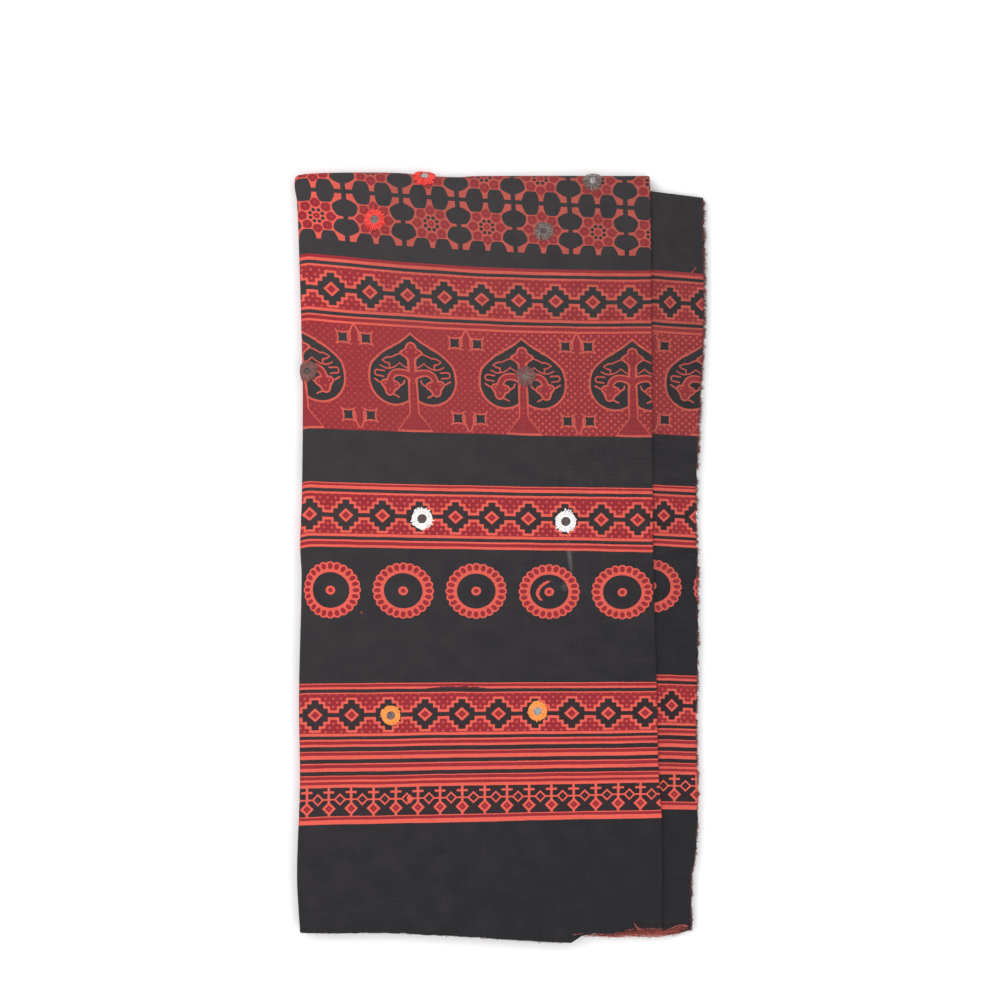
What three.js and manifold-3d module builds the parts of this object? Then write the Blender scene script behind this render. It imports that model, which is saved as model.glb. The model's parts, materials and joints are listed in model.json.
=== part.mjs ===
// An ajrakh cloth: block-printed cotton with ten stitched-on mirrors, folded flat for a shelf.
// It is folded in quarters across its width and in half along its length, so it lies in eight layers.
import * as THREE from "three";
import Module from "manifold-3d";
import { mergeVertices } from "three/addons/utils/BufferGeometryUtils.js";

// Sizes are in millimetres. X runs across the folded cloth, Y along it, and Z up from what it lies on.
const CLOTH_THICKNESS = 1.0;
const LAYER_GAP = 0.5;
const LAYER_PITCH = CLOTH_THICKNESS + LAYER_GAP;
const HALF_GAP = 0.25;
const PIECE_GAP = 0.3;

// The four layers of one half, counted out from the plane between the halves.
const BACK_LAYER = 0;
const STRIP_LAYER = 1;
const TUCKED_LAYER = 2;
const FRONT_LAYER = 3;
const LAYERS_A_HALF = 4;
const HALF_HEIGHT = HALF_GAP + LAYERS_A_HALF * LAYER_PITCH - LAYER_GAP;
const PACK_HEIGHT = 2 * HALF_HEIGHT;

// Outlines of the folded cloth, each a row for every place where the edge turns a little.
const LEFT_FOLD_EDGE = [
  { y: 266, x: -142.1 },
  { y: 260, x: -143.8 },
  { y: 249, x: -142.1 },
  { y: 218, x: -140.7 },
  { y: 145, x: -138.6 },
  { y: 109, x: -138.0 },
  { y: 40, x: -138.7 },
  { y: 8, x: -139.8 },
  { y: -14, x: -138.8 },
  { y: -97, x: -140.6 },
  { y: -160, x: -140.0 },
  { y: -223, x: -142.0 },
  { y: -262, x: -140.0 },
];
const RIGHT_FOLD_EDGE = [
  { y: 266, x: 104.7 },
  { y: 199, x: 105.7 },
  { y: 88, x: 106.4 },
  { y: 0, x: 107.1 },
  { y: -81, x: 109.2 },
  { y: -153, x: 111.0 },
  { y: -186, x: 113.2 },
  { y: -262, x: 113.2 },
];
const SELVEDGE = [
  { y: 252, x: 142.8 },
  { y: 166, x: 143.5 },
  { y: 124, x: 141.4 },
  { y: 61, x: 138.6 },
  { y: 19, x: 137.9 },
  { y: 0, x: 138.9 },
  { y: -65, x: 139.2 },
  { y: -118, x: 138.2 },
  { y: -170, x: 139.2 },
  { y: -212, x: 137.2 },
  { y: -223, x: 134.8 },
  { y: -262, x: 134.8 },
];
const TOP_FOLD_EDGE = [
  { x: -144, y: 264.6 },
  { x: -140, y: 266.2 },
  { x: -134, y: 267.8 },
  { x: -118, y: 268.8 },
  { x: -70, y: 268.8 },
  { x: -42, y: 266.4 },
  { x: -25, y: 265.8 },
  { x: -14, y: 266.6 },
  { x: 106, y: 266.6 },
];
const FRONT_RAW_EDGE = [
  { x: -144, y: -261.2 },
  { x: -134, y: -262.9 },
  { x: -76, y: -262.9 },
  { x: -17, y: -265.9 },
  { x: 17, y: -268.3 },
  { x: 50, y: -269.2 },
  { x: 64, y: -263.4 },
  { x: 80, y: -261.8 },
  { x: 98, y: -260.8 },
  { x: 134, y: -260.0 },
];
const BACK_RAW_EDGE = [
  { x: -144, y: -259.5 },
  { x: 40, y: -261.0 },
  { x: 62, y: -264.4 },
  { x: 98, y: -265.2 },
  { x: 126, y: -264.9 },
  { x: 136, y: -262.6 },
];

// The strip beside the front panel: one layer lies a little inside the other, and both sink to the table.
const STRIP_INSET = 3.0;
const STRIP_DROP = 2 * LAYER_PITCH;
const STRIP_DROP_RUN = 12;
const STRIP_SLIP = 12;
const STRIP_SLIP_POWER = 3.8;
const STRIP_BEND_INSET = 3;

// What the covered layers fall short of the front panel's raw edge.
const COVERED_SHORT = 1.8;

// Air in the pack lifts the upper layers in long soft waves.
const WAVES = [
  { height: 0.7, across: 210, along: 330, turn: 0.6 },
  { height: 0.5, across: -150, along: 190, turn: 2.1 },
  { height: 0.3, across: 90, along: 120, turn: 4.0 },
];

// Steps of the cloth's faces, across and along.
const ACROSS_STEPS = { strip: 5, covered: 6, front: 16, smallFold: 4, rightFold: 5, leftFold: 7 };
const ALONG_STEPS = { front: 18, fold: 8, back: 7 };

// Mirrors, by the place of each centre as seen from above, and the thread of its ring.
const MIRRORS = [
  { x: -87.6, y: 235.3, thread: "red", onFold: false },
  { x: -52.7, y: 265.6, thread: "red", onFold: true },
  { x: 30.5, y: 227.2, thread: "grey", onFold: false },
  { x: 64.6, y: 262.3, thread: "grey", onFold: true },
  { x: 18.2, y: 126.0, thread: "brown", onFold: false },
  { x: -134.0, y: 129.5, thread: "brown", onFold: true },
  { x: -54.4, y: 26.5, thread: "white", onFold: false },
  { x: 45.9, y: 24.6, thread: "white", onFold: false },
  { x: -76.1, y: -110.7, thread: "orange", onFold: false },
  { x: 26.3, y: -107.8, thread: "orange", onFold: false },
];
const GLASS = { radius: 3.9, radiusOnFold: 2.9, thickness: 0.6, sides: 20 };
const RING = { sides: 20, uneven: 0.3, lobes: 3, riseOnFold: 0.25 };
const RING_SECTION = [
  { radius: 7.0, height: PIECE_GAP, uneven: true },
  { radius: 6.7, height: 1.1, uneven: true },
  { radius: 5.2, height: 1.9, uneven: false },
  { radius: 3.6, height: 1.8, uneven: false },
  { radius: 3.2, height: 1.3, uneven: false },
  { radius: 4.4, height: 1.2, uneven: false },
  { radius: 4.6, height: PIECE_GAP, uneven: false },
];

// Frayed ends of the weave, which lie on the back half beyond the front half's raw edge.
const FRAY = { fromX: 58, toX: 131, width: 1.3, thickness: 0.9, steps: 14 };
const STRAND = { count: 36, thickness: 0.6, taper: 0.45, root: 0.7 };
const STRAND_LENGTH = { least: 1.6, most: 3.4, turn: 2.4 };
const STRAND_LEAN = { most: 1.1, turn: 1.7 };

const COLOURS = {
  cloth: "#3c393c",
  glass: "#c9ccd0",
  fray: "#a8463f",
  red: "#d8362c",
  grey: "#6e625c",
  brown: "#7a5340",
  white: "#eeeae4",
  orange: "#e07a3a",
};

// Reads a smooth curve through a table's rows, given the names of its two columns.
function readTable(rows, key, value, at) {
  const order = [...rows].sort((a, b) => a[key] - b[key]);
  const last = order.length - 1;
  if (at <= order[0][key]) return order[0][value];
  if (at >= order[last][key]) return order[last][value];
  const next = order.findIndex((row) => row[key] > at);
  const [low, high] = [order[next - 1], order[next]];
  const slope = (i) => {
    const [a, b] = [order[Math.max(i - 1, 0)], order[Math.min(i + 1, last)]];
    return (b[value] - a[value]) / (b[key] - a[key]);
  };
  const span = high[key] - low[key];
  const t = (at - low[key]) / span;
  const rise = t * t * (3 - 2 * t);
  const leave = span * slope(next - 1) * t * (1 - t) * (1 - t);
  const arrive = span * slope(next) * t * t * (t - 1);
  return low[value] + (high[value] - low[value]) * rise + leave + arrive;
}

const leftEdge = (y) => readTable(LEFT_FOLD_EDGE, "y", "x", y);
const rightEdge = (y) => readTable(RIGHT_FOLD_EDGE, "y", "x", y);
const selvedge = (y) => readTable(SELVEDGE, "y", "x", y);
const topEdge = (x) => readTable(TOP_FOLD_EDGE, "x", "y", x);
const frontRawEdge = (x) => readTable(FRONT_RAW_EDGE, "x", "y", x);
const backRawEdge = (x) => readTable(BACK_RAW_EDGE, "x", "y", x);

// Height of a layer's middle above the plane between the halves.
const level = (layer) => HALF_GAP + CLOTH_THICKNESS / 2 + layer * LAYER_PITCH;

// X of the centre that both left folds turn about, and of the right fold's centre.
const leftCentre = (y) => leftEdge(y) + CLOTH_THICKNESS / 2 + 1.5 * LAYER_PITCH;
const rightCentre = (y) => rightEdge(y) - CLOTH_THICKNESS / 2 - LAYER_PITCH / 2;

// Y of the axis that the lengthwise fold turns about.
const foldAxis = (x) => topEdge(x) - HALF_HEIGHT;

// How far the two lower layers have slipped down at an X, as the photo's strip shows.
function slip(x) {
  const share = (x - leftEdge(0)) / (selvedge(0) - leftEdge(0));
  return STRIP_SLIP * Math.max(share, 0) ** STRIP_SLIP_POWER;
}

function smoothStep(t) {
  const c = Math.min(Math.max(t, 0), 1);
  return c * c * (3 - 2 * c);
}

// Lets a point of the flat pack down beside the front panel, and up where air lifts the layers.
function settle(x, y, z) {
  const drop = STRIP_DROP * smoothStep((x - rightEdge(y)) / STRIP_DROP_RUN);
  const lift = WAVES.reduce((sum, wave) => {
    const phase = 2 * Math.PI * (x / wave.across + y / wave.along) + wave.turn;
    return sum + wave.height * (0.5 + 0.5 * Math.sin(phase));
  }, 0);
  const low = z - drop;
  return new THREE.Vector3(x, y, low + (lift * Math.max(low - CLOTH_THICKNESS, 0)) / PACK_HEIGHT);
}

// Carries a point of the cross-section round the lengthwise fold. At no angle it is on the front half.
function place(x, height, axis, angle) {
  return settle(x, axis + height * Math.sin(angle), HALF_HEIGHT + height * Math.cos(angle));
}

// Stations along a straight layer, from one X towards another, with the printed face's side.
function run(from, to, layer, steps) {
  const covered = steps === ACROSS_STEPS.covered;
  const side = Math.sign(from - to);
  const slips = layer === BACK_LAYER || layer === STRIP_LAYER;
  return Array.from({ length: steps }, (_, i) => ({
    x: from + ((to - from) * i) / steps,
    height: level(layer),
    sideX: 0,
    sideHeight: side,
    slips,
    covered,
  }));
}

// Stations round a fold between two layers, half a turn about its centre.
function turn(centreX, lower, upper, radius, way, steps) {
  const centre = (level(lower) + level(upper)) / 2;
  const [first, outward] = way;
  return Array.from({ length: steps }, (_, i) => {
    const angle = first * (Math.PI / 2) * (1 - (2 * i) / steps);
    const [x, height] = [outward * Math.cos(angle), Math.sin(angle)];
    const face = -first * outward;
    return {
      x: centreX + radius * x,
      height: centre + radius * height,
      sideX: face * x,
      sideHeight: face * height,
      slips: false,
    };
  });
}

// One cross-section of the cloth at a Y, from the strip's selvedge to the back layer's.
function section(y) {
  const [left, right, edge] = [leftCentre(y), rightCentre(y), selvedge(y)];
  const bend = rightEdge(y) - STRIP_BEND_INSET;
  const steps = ACROSS_STEPS;
  const small = LAYER_PITCH / 2;
  const stations = [
    ...run(edge - STRIP_INSET, bend, STRIP_LAYER, steps.strip),
    ...run(bend, left, STRIP_LAYER, steps.covered),
    ...turn(left, STRIP_LAYER, TUCKED_LAYER, small, [-1, -1], steps.smallFold),
    ...run(left, right, TUCKED_LAYER, steps.covered),
    ...turn(right, TUCKED_LAYER, FRONT_LAYER, small, [-1, 1], steps.rightFold),
    ...run(right, left, FRONT_LAYER, steps.front),
    ...turn(left, BACK_LAYER, FRONT_LAYER, 3 * small, [1, -1], steps.leftFold),
    ...run(left, bend, BACK_LAYER, steps.covered),
    ...run(bend, edge, BACK_LAYER, steps.strip),
  ];
  const last = stations[stations.length - 1];
  return [...stations, { ...last, x: edge }];
}

// Rows along the cloth: the front from its raw edge up, round the fold, and the back down to its raw edge.
function rows() {
  const { front, fold, back } = ALONG_STEPS;
  return [
    ...Array.from({ length: front }, (_, i) => ({ angle: 0, share: i / front })),
    ...Array.from({ length: fold }, (_, i) => ({ angle: (Math.PI * i) / fold, share: 1 })),
    ...Array.from({ length: back + 1 }, (_, i) => ({ angle: Math.PI, share: 1 - i / back })),
  ];
}

// Joins a grid of points into faces. Closed directions meet themselves.
function gridFaces(countA, countB, wrapA, wrapB, index) {
  const faces = [];
  for (let a = 0; a < (wrapA ? countA : countA - 1); a += 1) {
    for (let b = 0; b < (wrapB ? countB : countB - 1); b += 1) {
      const [a2, b2] = [(a + 1) % countA, (b + 1) % countB];
      faces.push(index(a, b), index(a2, b), index(a2, b2));
      faces.push(index(a, b), index(a2, b2), index(a, b2));
    }
  }
  return faces;
}

function geometryOf(points, faces) {
  const flat = points.flatMap((p) => [p.x, p.y, p.z]);
  const geometry = new THREE.BufferGeometry();
  geometry.setAttribute("position", new THREE.Float32BufferAttribute(flat, 3));
  geometry.setIndex(faces);
  geometry.computeVertexNormals();
  return geometry;
}

// The whole cloth as one closed sheet: a grid that goes round its section, face side and wrong side.
function clothGeometry() {
  const points = [];
  const along = rows();
  const middle = section(0);
  const loop = 2 * middle.length;
  along.forEach((row) => {
    const stations = middle.map((_, i) => {
      const nearX = middle[i].x;
      const fold = foldAxis(nearX) - (middle[i].slips ? slip(nearX) : 0);
      const frontEnd = frontRawEdge(nearX) + (middle[i].covered ? COVERED_SHORT : 0);
      const end = row.angle > 0 ? backRawEdge(nearX) : frontEnd;
      const axis = end + (fold - end) * row.share;
      return { ...section(axis)[i], axis };
    });
    [1, -1].forEach((side) => {
      const ordered = side > 0 ? stations : [...stations].reverse();
      ordered.forEach((s) => {
        const offset = (side * CLOTH_THICKNESS) / 2;
        const x = s.x + offset * s.sideX;
        points.push(place(x, s.height + offset * s.sideHeight, s.axis, row.angle));
      });
    });
  });
  const index = (a, b) => a * loop + b;
  const faces = gridFaces(along.length, loop, false, true, index);
  const half = middle.length;
  [0, along.length - 1].forEach((row) => {
    for (let b = 0; b < half - 1; b += 1) {
      const corners = [b, b + 1, loop - 2 - b, loop - 1 - b].map((i) => index(row, i));
      const [p, q, r, s] = row === 0 ? corners : [...corners].reverse();
      faces.push(p, q, r, p, r, s);
    }
  });
  return geometryOf(points, faces);
}

// A point above the front panel's printed face. X and Y are measured along the cloth, round its folds.
function onFace(x, y, height) {
  const left = leftCentre(y);
  const leftRadius = HALF_HEIGHT - (level(BACK_LAYER) + level(FRONT_LAYER)) / 2;
  const roundLeft = Math.max(left - x, 0) / leftRadius;
  const sectionX = roundLeft > 0 ? left - (leftRadius + height) * Math.sin(roundLeft) : x;
  const lowered = (leftRadius + height) * (1 - Math.cos(roundLeft));
  const axis = foldAxis(sectionX);
  const roundTop = Math.max(y - axis, 0) / HALF_HEIGHT;
  return place(sectionX, HALF_HEIGHT + height - lowered, Math.min(y, axis), roundTop);
}

// Y on the cloth of a place that is seen from above at a Y.
function clothY(x, y) {
  const axis = foldAxis(x);
  return y > axis ? axis + HALF_HEIGHT * Math.asin((y - axis) / HALF_HEIGHT) : y;
}

function glassGeometry(radius) {
  const geometry = new THREE.CylinderGeometry(radius, radius, GLASS.thickness, GLASS.sides);
  geometry.rotateX(Math.PI / 2);
  geometry.translate(0, 0, PIECE_GAP + GLASS.thickness / 2);
  return geometry;
}

// The stitched ring round a mirror, laid on the cloth's face and over the glass's rim.
function ringGeometry(x, y, start, rise) {
  const points = [];
  for (let i = 0; i < RING.sides; i += 1) {
    const angle = (2 * Math.PI * i) / RING.sides;
    RING_SECTION.forEach((corner) => {
      const bulge = corner.uneven ? RING.uneven * Math.sin(RING.lobes * angle + start) : 0;
      const radius = corner.radius + bulge;
      const [atX, atY] = [x + radius * Math.cos(angle), y + radius * Math.sin(angle)];
      points.push(onFace(atX, atY, corner.height + rise));
    });
  }
  const count = RING_SECTION.length;
  return geometryOf(points, gridFaces(RING.sides, count, true, true, (a, b) => a * count + b));
}

// A bar of any section between rings of points, closed at both ends.
function barGeometry(rings) {
  const count = rings[0].length;
  const faces = gridFaces(rings.length, count, false, true, (a, b) => a * count + b);
  const lastRing = (rings.length - 1) * count;
  for (let i = 1; i < count - 1; i += 1) {
    faces.push(0, i, i + 1);
    faces.push(lastRing, lastRing + i + 1, lastRing + i);
  }
  return geometryOf(rings.flat(), faces);
}

// Height in the flat pack of what lies on the back half.
const frayHeight = HALF_HEIGHT - HALF_GAP + PIECE_GAP;

function frayBacking() {
  const rings = Array.from({ length: FRAY.steps + 1 }, (_, i) => {
    const x = FRAY.fromX + ((FRAY.toX - FRAY.fromX) * i) / FRAY.steps;
    const top = frontRawEdge(x) - PIECE_GAP;
    const bottom = top - FRAY.width;
    return [
      settle(x, top, frayHeight),
      settle(x, bottom, frayHeight),
      settle(x, bottom, frayHeight + FRAY.thickness),
      settle(x, top, frayHeight + FRAY.thickness),
    ];
  });
  return barGeometry(rings);
}

function strandGeometry(number) {
  const share = (number + 0.5) / STRAND.count;
  const x = FRAY.fromX + (FRAY.toX - FRAY.fromX) * share;
  const uneven = 0.5 + 0.5 * Math.sin(number * STRAND_LENGTH.turn);
  const length = STRAND_LENGTH.least + (STRAND_LENGTH.most - STRAND_LENGTH.least) * uneven;
  const lean = STRAND_LEAN.most * Math.sin(number * STRAND_LEAN.turn);
  const root = frontRawEdge(x) - PIECE_GAP - FRAY.width + STRAND.root;
  const half = STRAND.thickness / 2;
  const base = frayHeight + (FRAY.thickness - STRAND.thickness) / 2;
  const rings = [0, 0.5, 1].map((t) => {
    const reach = half * (1 - STRAND.taper * t);
    const [atX, atY] = [x + lean * t * t, root - length * t];
    return [
      settle(atX - reach, atY, base),
      settle(atX, atY, base + 2 * reach),
      settle(atX + reach, atY, base),
    ];
  });
  return barGeometry(rings);
}

const wasm = await Module();
wasm.setup();

function solidOf(geometry) {
  const bare = geometry.clone();
  bare.deleteAttribute("normal");
  const merged = mergeVertices(bare);
  return new wasm.Manifold(
    new wasm.Mesh({
      numProp: 3,
      vertProperties: merged.attributes.position.array,
      triVerts: new Uint32Array(merged.index.array),
    }),
  );
}

// The frayed ends as one piece: strands rooted in a narrow band.
function frayGeometry() {
  let solid = solidOf(frayBacking());
  for (let number = 0; number < STRAND.count; number += 1) {
    solid = solid.add(solidOf(strandGeometry(number)));
  }
  const mesh = solid.getMesh();
  const geometry = new THREE.BufferGeometry();
  geometry.setAttribute("position", new THREE.Float32BufferAttribute(mesh.vertProperties, 3));
  geometry.setIndex([...mesh.triVerts]);
  geometry.computeVertexNormals();
  return geometry;
}

function meshOf(name, geometry, colour, roughness, metalness) {
  const material = new THREE.MeshStandardMaterial({ color: COLOURS[colour], roughness, metalness });
  const mesh = new THREE.Mesh(geometry, material);
  mesh.name = name;
  return mesh;
}

// One mirror: its glass stands on the cloth's face, square to it, and its ring is laid round it.
function mirrorGroup(mirror, number) {
  const group = new THREE.Group();
  const label = String(number + 1).padStart(2, "0");
  const y = clothY(mirror.x, mirror.y);
  const radius = mirror.onFold ? GLASS.radiusOnFold : GLASS.radius;
  const glass = meshOf(`mirror_${label}`, glassGeometry(radius), "glass", 0.08, 0.9);
  const seat = onFace(mirror.x, y, 0);
  const across = onFace(mirror.x + 1, y, 0).sub(onFace(mirror.x - 1, y, 0));
  const along = onFace(mirror.x, y + 1, 0).sub(onFace(mirror.x, y - 1, 0));
  const normal = across.cross(along).normalize();
  glass.position.copy(seat);
  glass.quaternion.setFromUnitVectors(new THREE.Vector3(0, 0, 1), normal);
  group.add(glass);
  const ring = ringGeometry(mirror.x, y, number, mirror.onFold ? RING.riseOnFold : 0);
  group.add(meshOf(`mirror_ring_${label}`, ring, mirror.thread, 0.8, 0));
  return group;
}

const ajrakhCloth = new THREE.Group();
ajrakhCloth.add(meshOf("cloth", clothGeometry(), "cloth", 0.9, 0));
ajrakhCloth.add(meshOf("frayed_end", frayGeometry(), "fray", 0.9, 0));
MIRRORS.forEach((mirror, number) => ajrakhCloth.add(mirrorGroup(mirror, number)));

export default ajrakhCloth;
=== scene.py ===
"""An ajrakh cloth, folded flat for a shelf: block-printed cotton with ten stitched-on mirrors.

The cloth is one sheet, folded in quarters across its width and in half along its length.
Sizes are in millimetres until a mesh is made, which holds metres in the frame of the model:
X runs across the folded cloth, Y along it, and Z up from what it lies on.
"""

import json
import logging
import math
from collections.abc import Callable
from dataclasses import dataclass, field
from enum import Enum

import bpy
import numpy as np
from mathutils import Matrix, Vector

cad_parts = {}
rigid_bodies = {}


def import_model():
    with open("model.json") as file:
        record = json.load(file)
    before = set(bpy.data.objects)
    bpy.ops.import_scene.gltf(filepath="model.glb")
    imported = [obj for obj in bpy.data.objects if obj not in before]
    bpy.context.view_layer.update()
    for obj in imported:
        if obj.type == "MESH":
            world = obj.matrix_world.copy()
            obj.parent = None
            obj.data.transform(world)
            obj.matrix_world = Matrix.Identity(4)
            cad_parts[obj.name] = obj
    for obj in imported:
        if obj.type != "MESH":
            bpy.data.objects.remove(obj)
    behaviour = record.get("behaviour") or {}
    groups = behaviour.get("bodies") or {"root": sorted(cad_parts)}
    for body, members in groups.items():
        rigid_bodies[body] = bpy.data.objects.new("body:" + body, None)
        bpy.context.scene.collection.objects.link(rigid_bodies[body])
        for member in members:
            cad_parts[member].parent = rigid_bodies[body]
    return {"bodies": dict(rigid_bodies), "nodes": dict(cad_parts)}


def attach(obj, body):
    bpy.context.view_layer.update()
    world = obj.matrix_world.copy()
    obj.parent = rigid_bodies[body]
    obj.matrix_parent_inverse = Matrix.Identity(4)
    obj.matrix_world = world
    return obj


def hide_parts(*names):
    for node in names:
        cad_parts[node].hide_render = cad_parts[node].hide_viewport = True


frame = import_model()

Rows = tuple[tuple[float, float], ...]
Colour = tuple[float, float, float]
EdgeLine = Callable[[np.ndarray], np.ndarray]
PrintLine = Callable[[np.ndarray, np.ndarray], np.ndarray]

MM = 0.001
BODY = next(iter(frame["bodies"]))
log = logging.getLogger("ajrakh")

# The photograph is a square of this many pixels, at so many millimetres each. The frame's origin
# is in its middle column and this row.
PHOTO_SIDE = 1000
PHOTO_SCALE = 0.70
PHOTO_ORIGIN_ROW = 556.5


class Thread(Enum):
    """Threads of the mirror rings and the frayed end, by the record's material slots."""

    RED = "red_thread"
    GREY = "grey_thread"
    BROWN = "brown_thread"
    WHITE = "white_thread"
    ORANGE = "orange_thread"
    LOOSE = "loose_thread"


class Glass(Enum):
    """Each mirror's silver colour, from dark to bright: painted reflection, one glass made darker
    or brighter to stand for the light that each mirror reflects.
    """

    DARK = (0.27, 0.215, 0.205)
    DULL = (0.47, 0.38, 0.36)
    CLEAR = (0.90, 0.87, 0.88)


class Layer(Enum):
    """The four layers of one half, counted out from the plane between the halves."""

    BACK = 0
    STRIP = 1
    TUCKED = 2
    FRONT = 3


@dataclass(frozen=True)
class Table:
    """A smooth curve through the rows of a small table, each row a place and a value."""

    rows: Rows

    def at(self, where: np.ndarray | float) -> np.ndarray:
        """Reads the curve.

        Args:
            where: Places along the table's first column.

        Returns:
            The value at each place, held level past the table's ends.
        """
        keys, values = (np.array(column, float) for column in zip(*sorted(self.rows)))
        last = len(keys) - 1
        after = np.minimum(np.arange(last + 1) + 1, last)
        before = np.maximum(np.arange(last + 1) - 1, 0)
        slopes = (values[after] - values[before]) / (keys[after] - keys[before])
        place = np.clip(np.asarray(where, float), keys[0], keys[-1])
        low = np.clip(np.searchsorted(keys, place, side="right") - 1, 0, last - 1)
        span = keys[low + 1] - keys[low]
        t = (place - keys[low]) / span
        rise = t * t * (3 - 2 * t)
        leave = span * slopes[low] * t * (1 - t) ** 2
        arrive = span * slopes[low + 1] * t * t * (t - 1)
        return values[low] + (values[low + 1] - values[low]) * rise + leave + arrive


def smooth_step(t: np.ndarray) -> np.ndarray:
    """Rises softly from 0 to 1 as t does."""
    held = np.clip(t, 0, 1)
    return held * held * (3 - 2 * held)


# Outlines of the folded cloth. The first four are X by Y, and the last three Y by X.
LEFT_FOLD_EDGE = Table((
    (266, -142.1), (260, -143.8), (249, -142.1), (218, -140.7), (145, -138.6),
    (109, -138.0), (40, -138.7), (8, -139.8), (-14, -138.8), (-97, -140.6),
    (-160, -140.0), (-223, -142.0), (-262, -140.0),
))
RIGHT_FOLD_EDGE = Table((
    (266, 104.7), (199, 105.7), (88, 106.4), (0, 107.1), (-81, 109.2),
    (-153, 111.0), (-186, 113.2), (-262, 113.2),
))
SELVEDGE = Table((
    (252, 142.8), (166, 143.5), (124, 141.4), (61, 138.6), (19, 137.9), (0, 138.9),
    (-65, 139.2), (-118, 138.2), (-170, 139.2), (-212, 137.2), (-223, 134.8), (-262, 134.8),
))
TOP_FOLD_EDGE = Table((
    (-144, 264.6), (-140, 266.2), (-134, 267.8), (-118, 268.8), (-70, 268.8),
    (-42, 266.4), (-25, 265.8), (-14, 266.6), (106, 266.6),
))
FRONT_RAW_EDGE = Table((
    (-144, -261.2), (-134, -262.9), (-76, -262.9), (-17, -265.9), (17, -268.3),
    (46.5, -269.2), (50.5, -265.8), (54.5, -263.9), (80, -262.0), (98, -260.8), (134, -260.0),
))
BACK_RAW_EDGE = Table((
    (-144, -259.5), (40, -261.0), (62, -264.4), (98, -265.2), (126, -264.9), (136, -262.6),
))


@dataclass(frozen=True)
class Wave:
    """A long soft wave in the pack, where air lifts its upper layers."""

    height: float
    across: float
    along: float
    turn: float

    def lift(self, x: np.ndarray, y: np.ndarray) -> np.ndarray:
        """How far the wave lifts the top of the pack."""
        phase = 2 * np.pi * (x / self.across + y / self.along) + self.turn
        return self.height * (0.5 + 0.5 * np.sin(phase))


@dataclass(frozen=True)
class Crease:
    """A soft ridge, or a trough where its height is negative, along a bent line."""

    start: tuple[float, float]
    end: tuple[float, float]
    bow: float
    width: float
    height: float

    def lift(self, x: np.ndarray, y: np.ndarray) -> np.ndarray:
        """How far the crease lifts the top of the pack, fading towards its ends.

        Args:
            x: Places across.
            y: Places along.

        Returns:
            The lift at each place.
        """
        (x0, y0), (x1, y1) = self.start, self.end
        length = math.hypot(x1 - x0, y1 - y0)
        along = ((x - x0) * (x1 - x0) + (y - y0) * (y1 - y0)) / length**2
        beside = ((x - x0) * (y1 - y0) - (y - y0) * (x1 - x0)) / length
        beside = beside - self.bow * 4 * along * (1 - along)
        falloff = smooth_step(along * 4) * smooth_step((1 - along) * 4)
        return self.height * falloff * np.exp(-((beside / self.width) ** 2))


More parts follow.
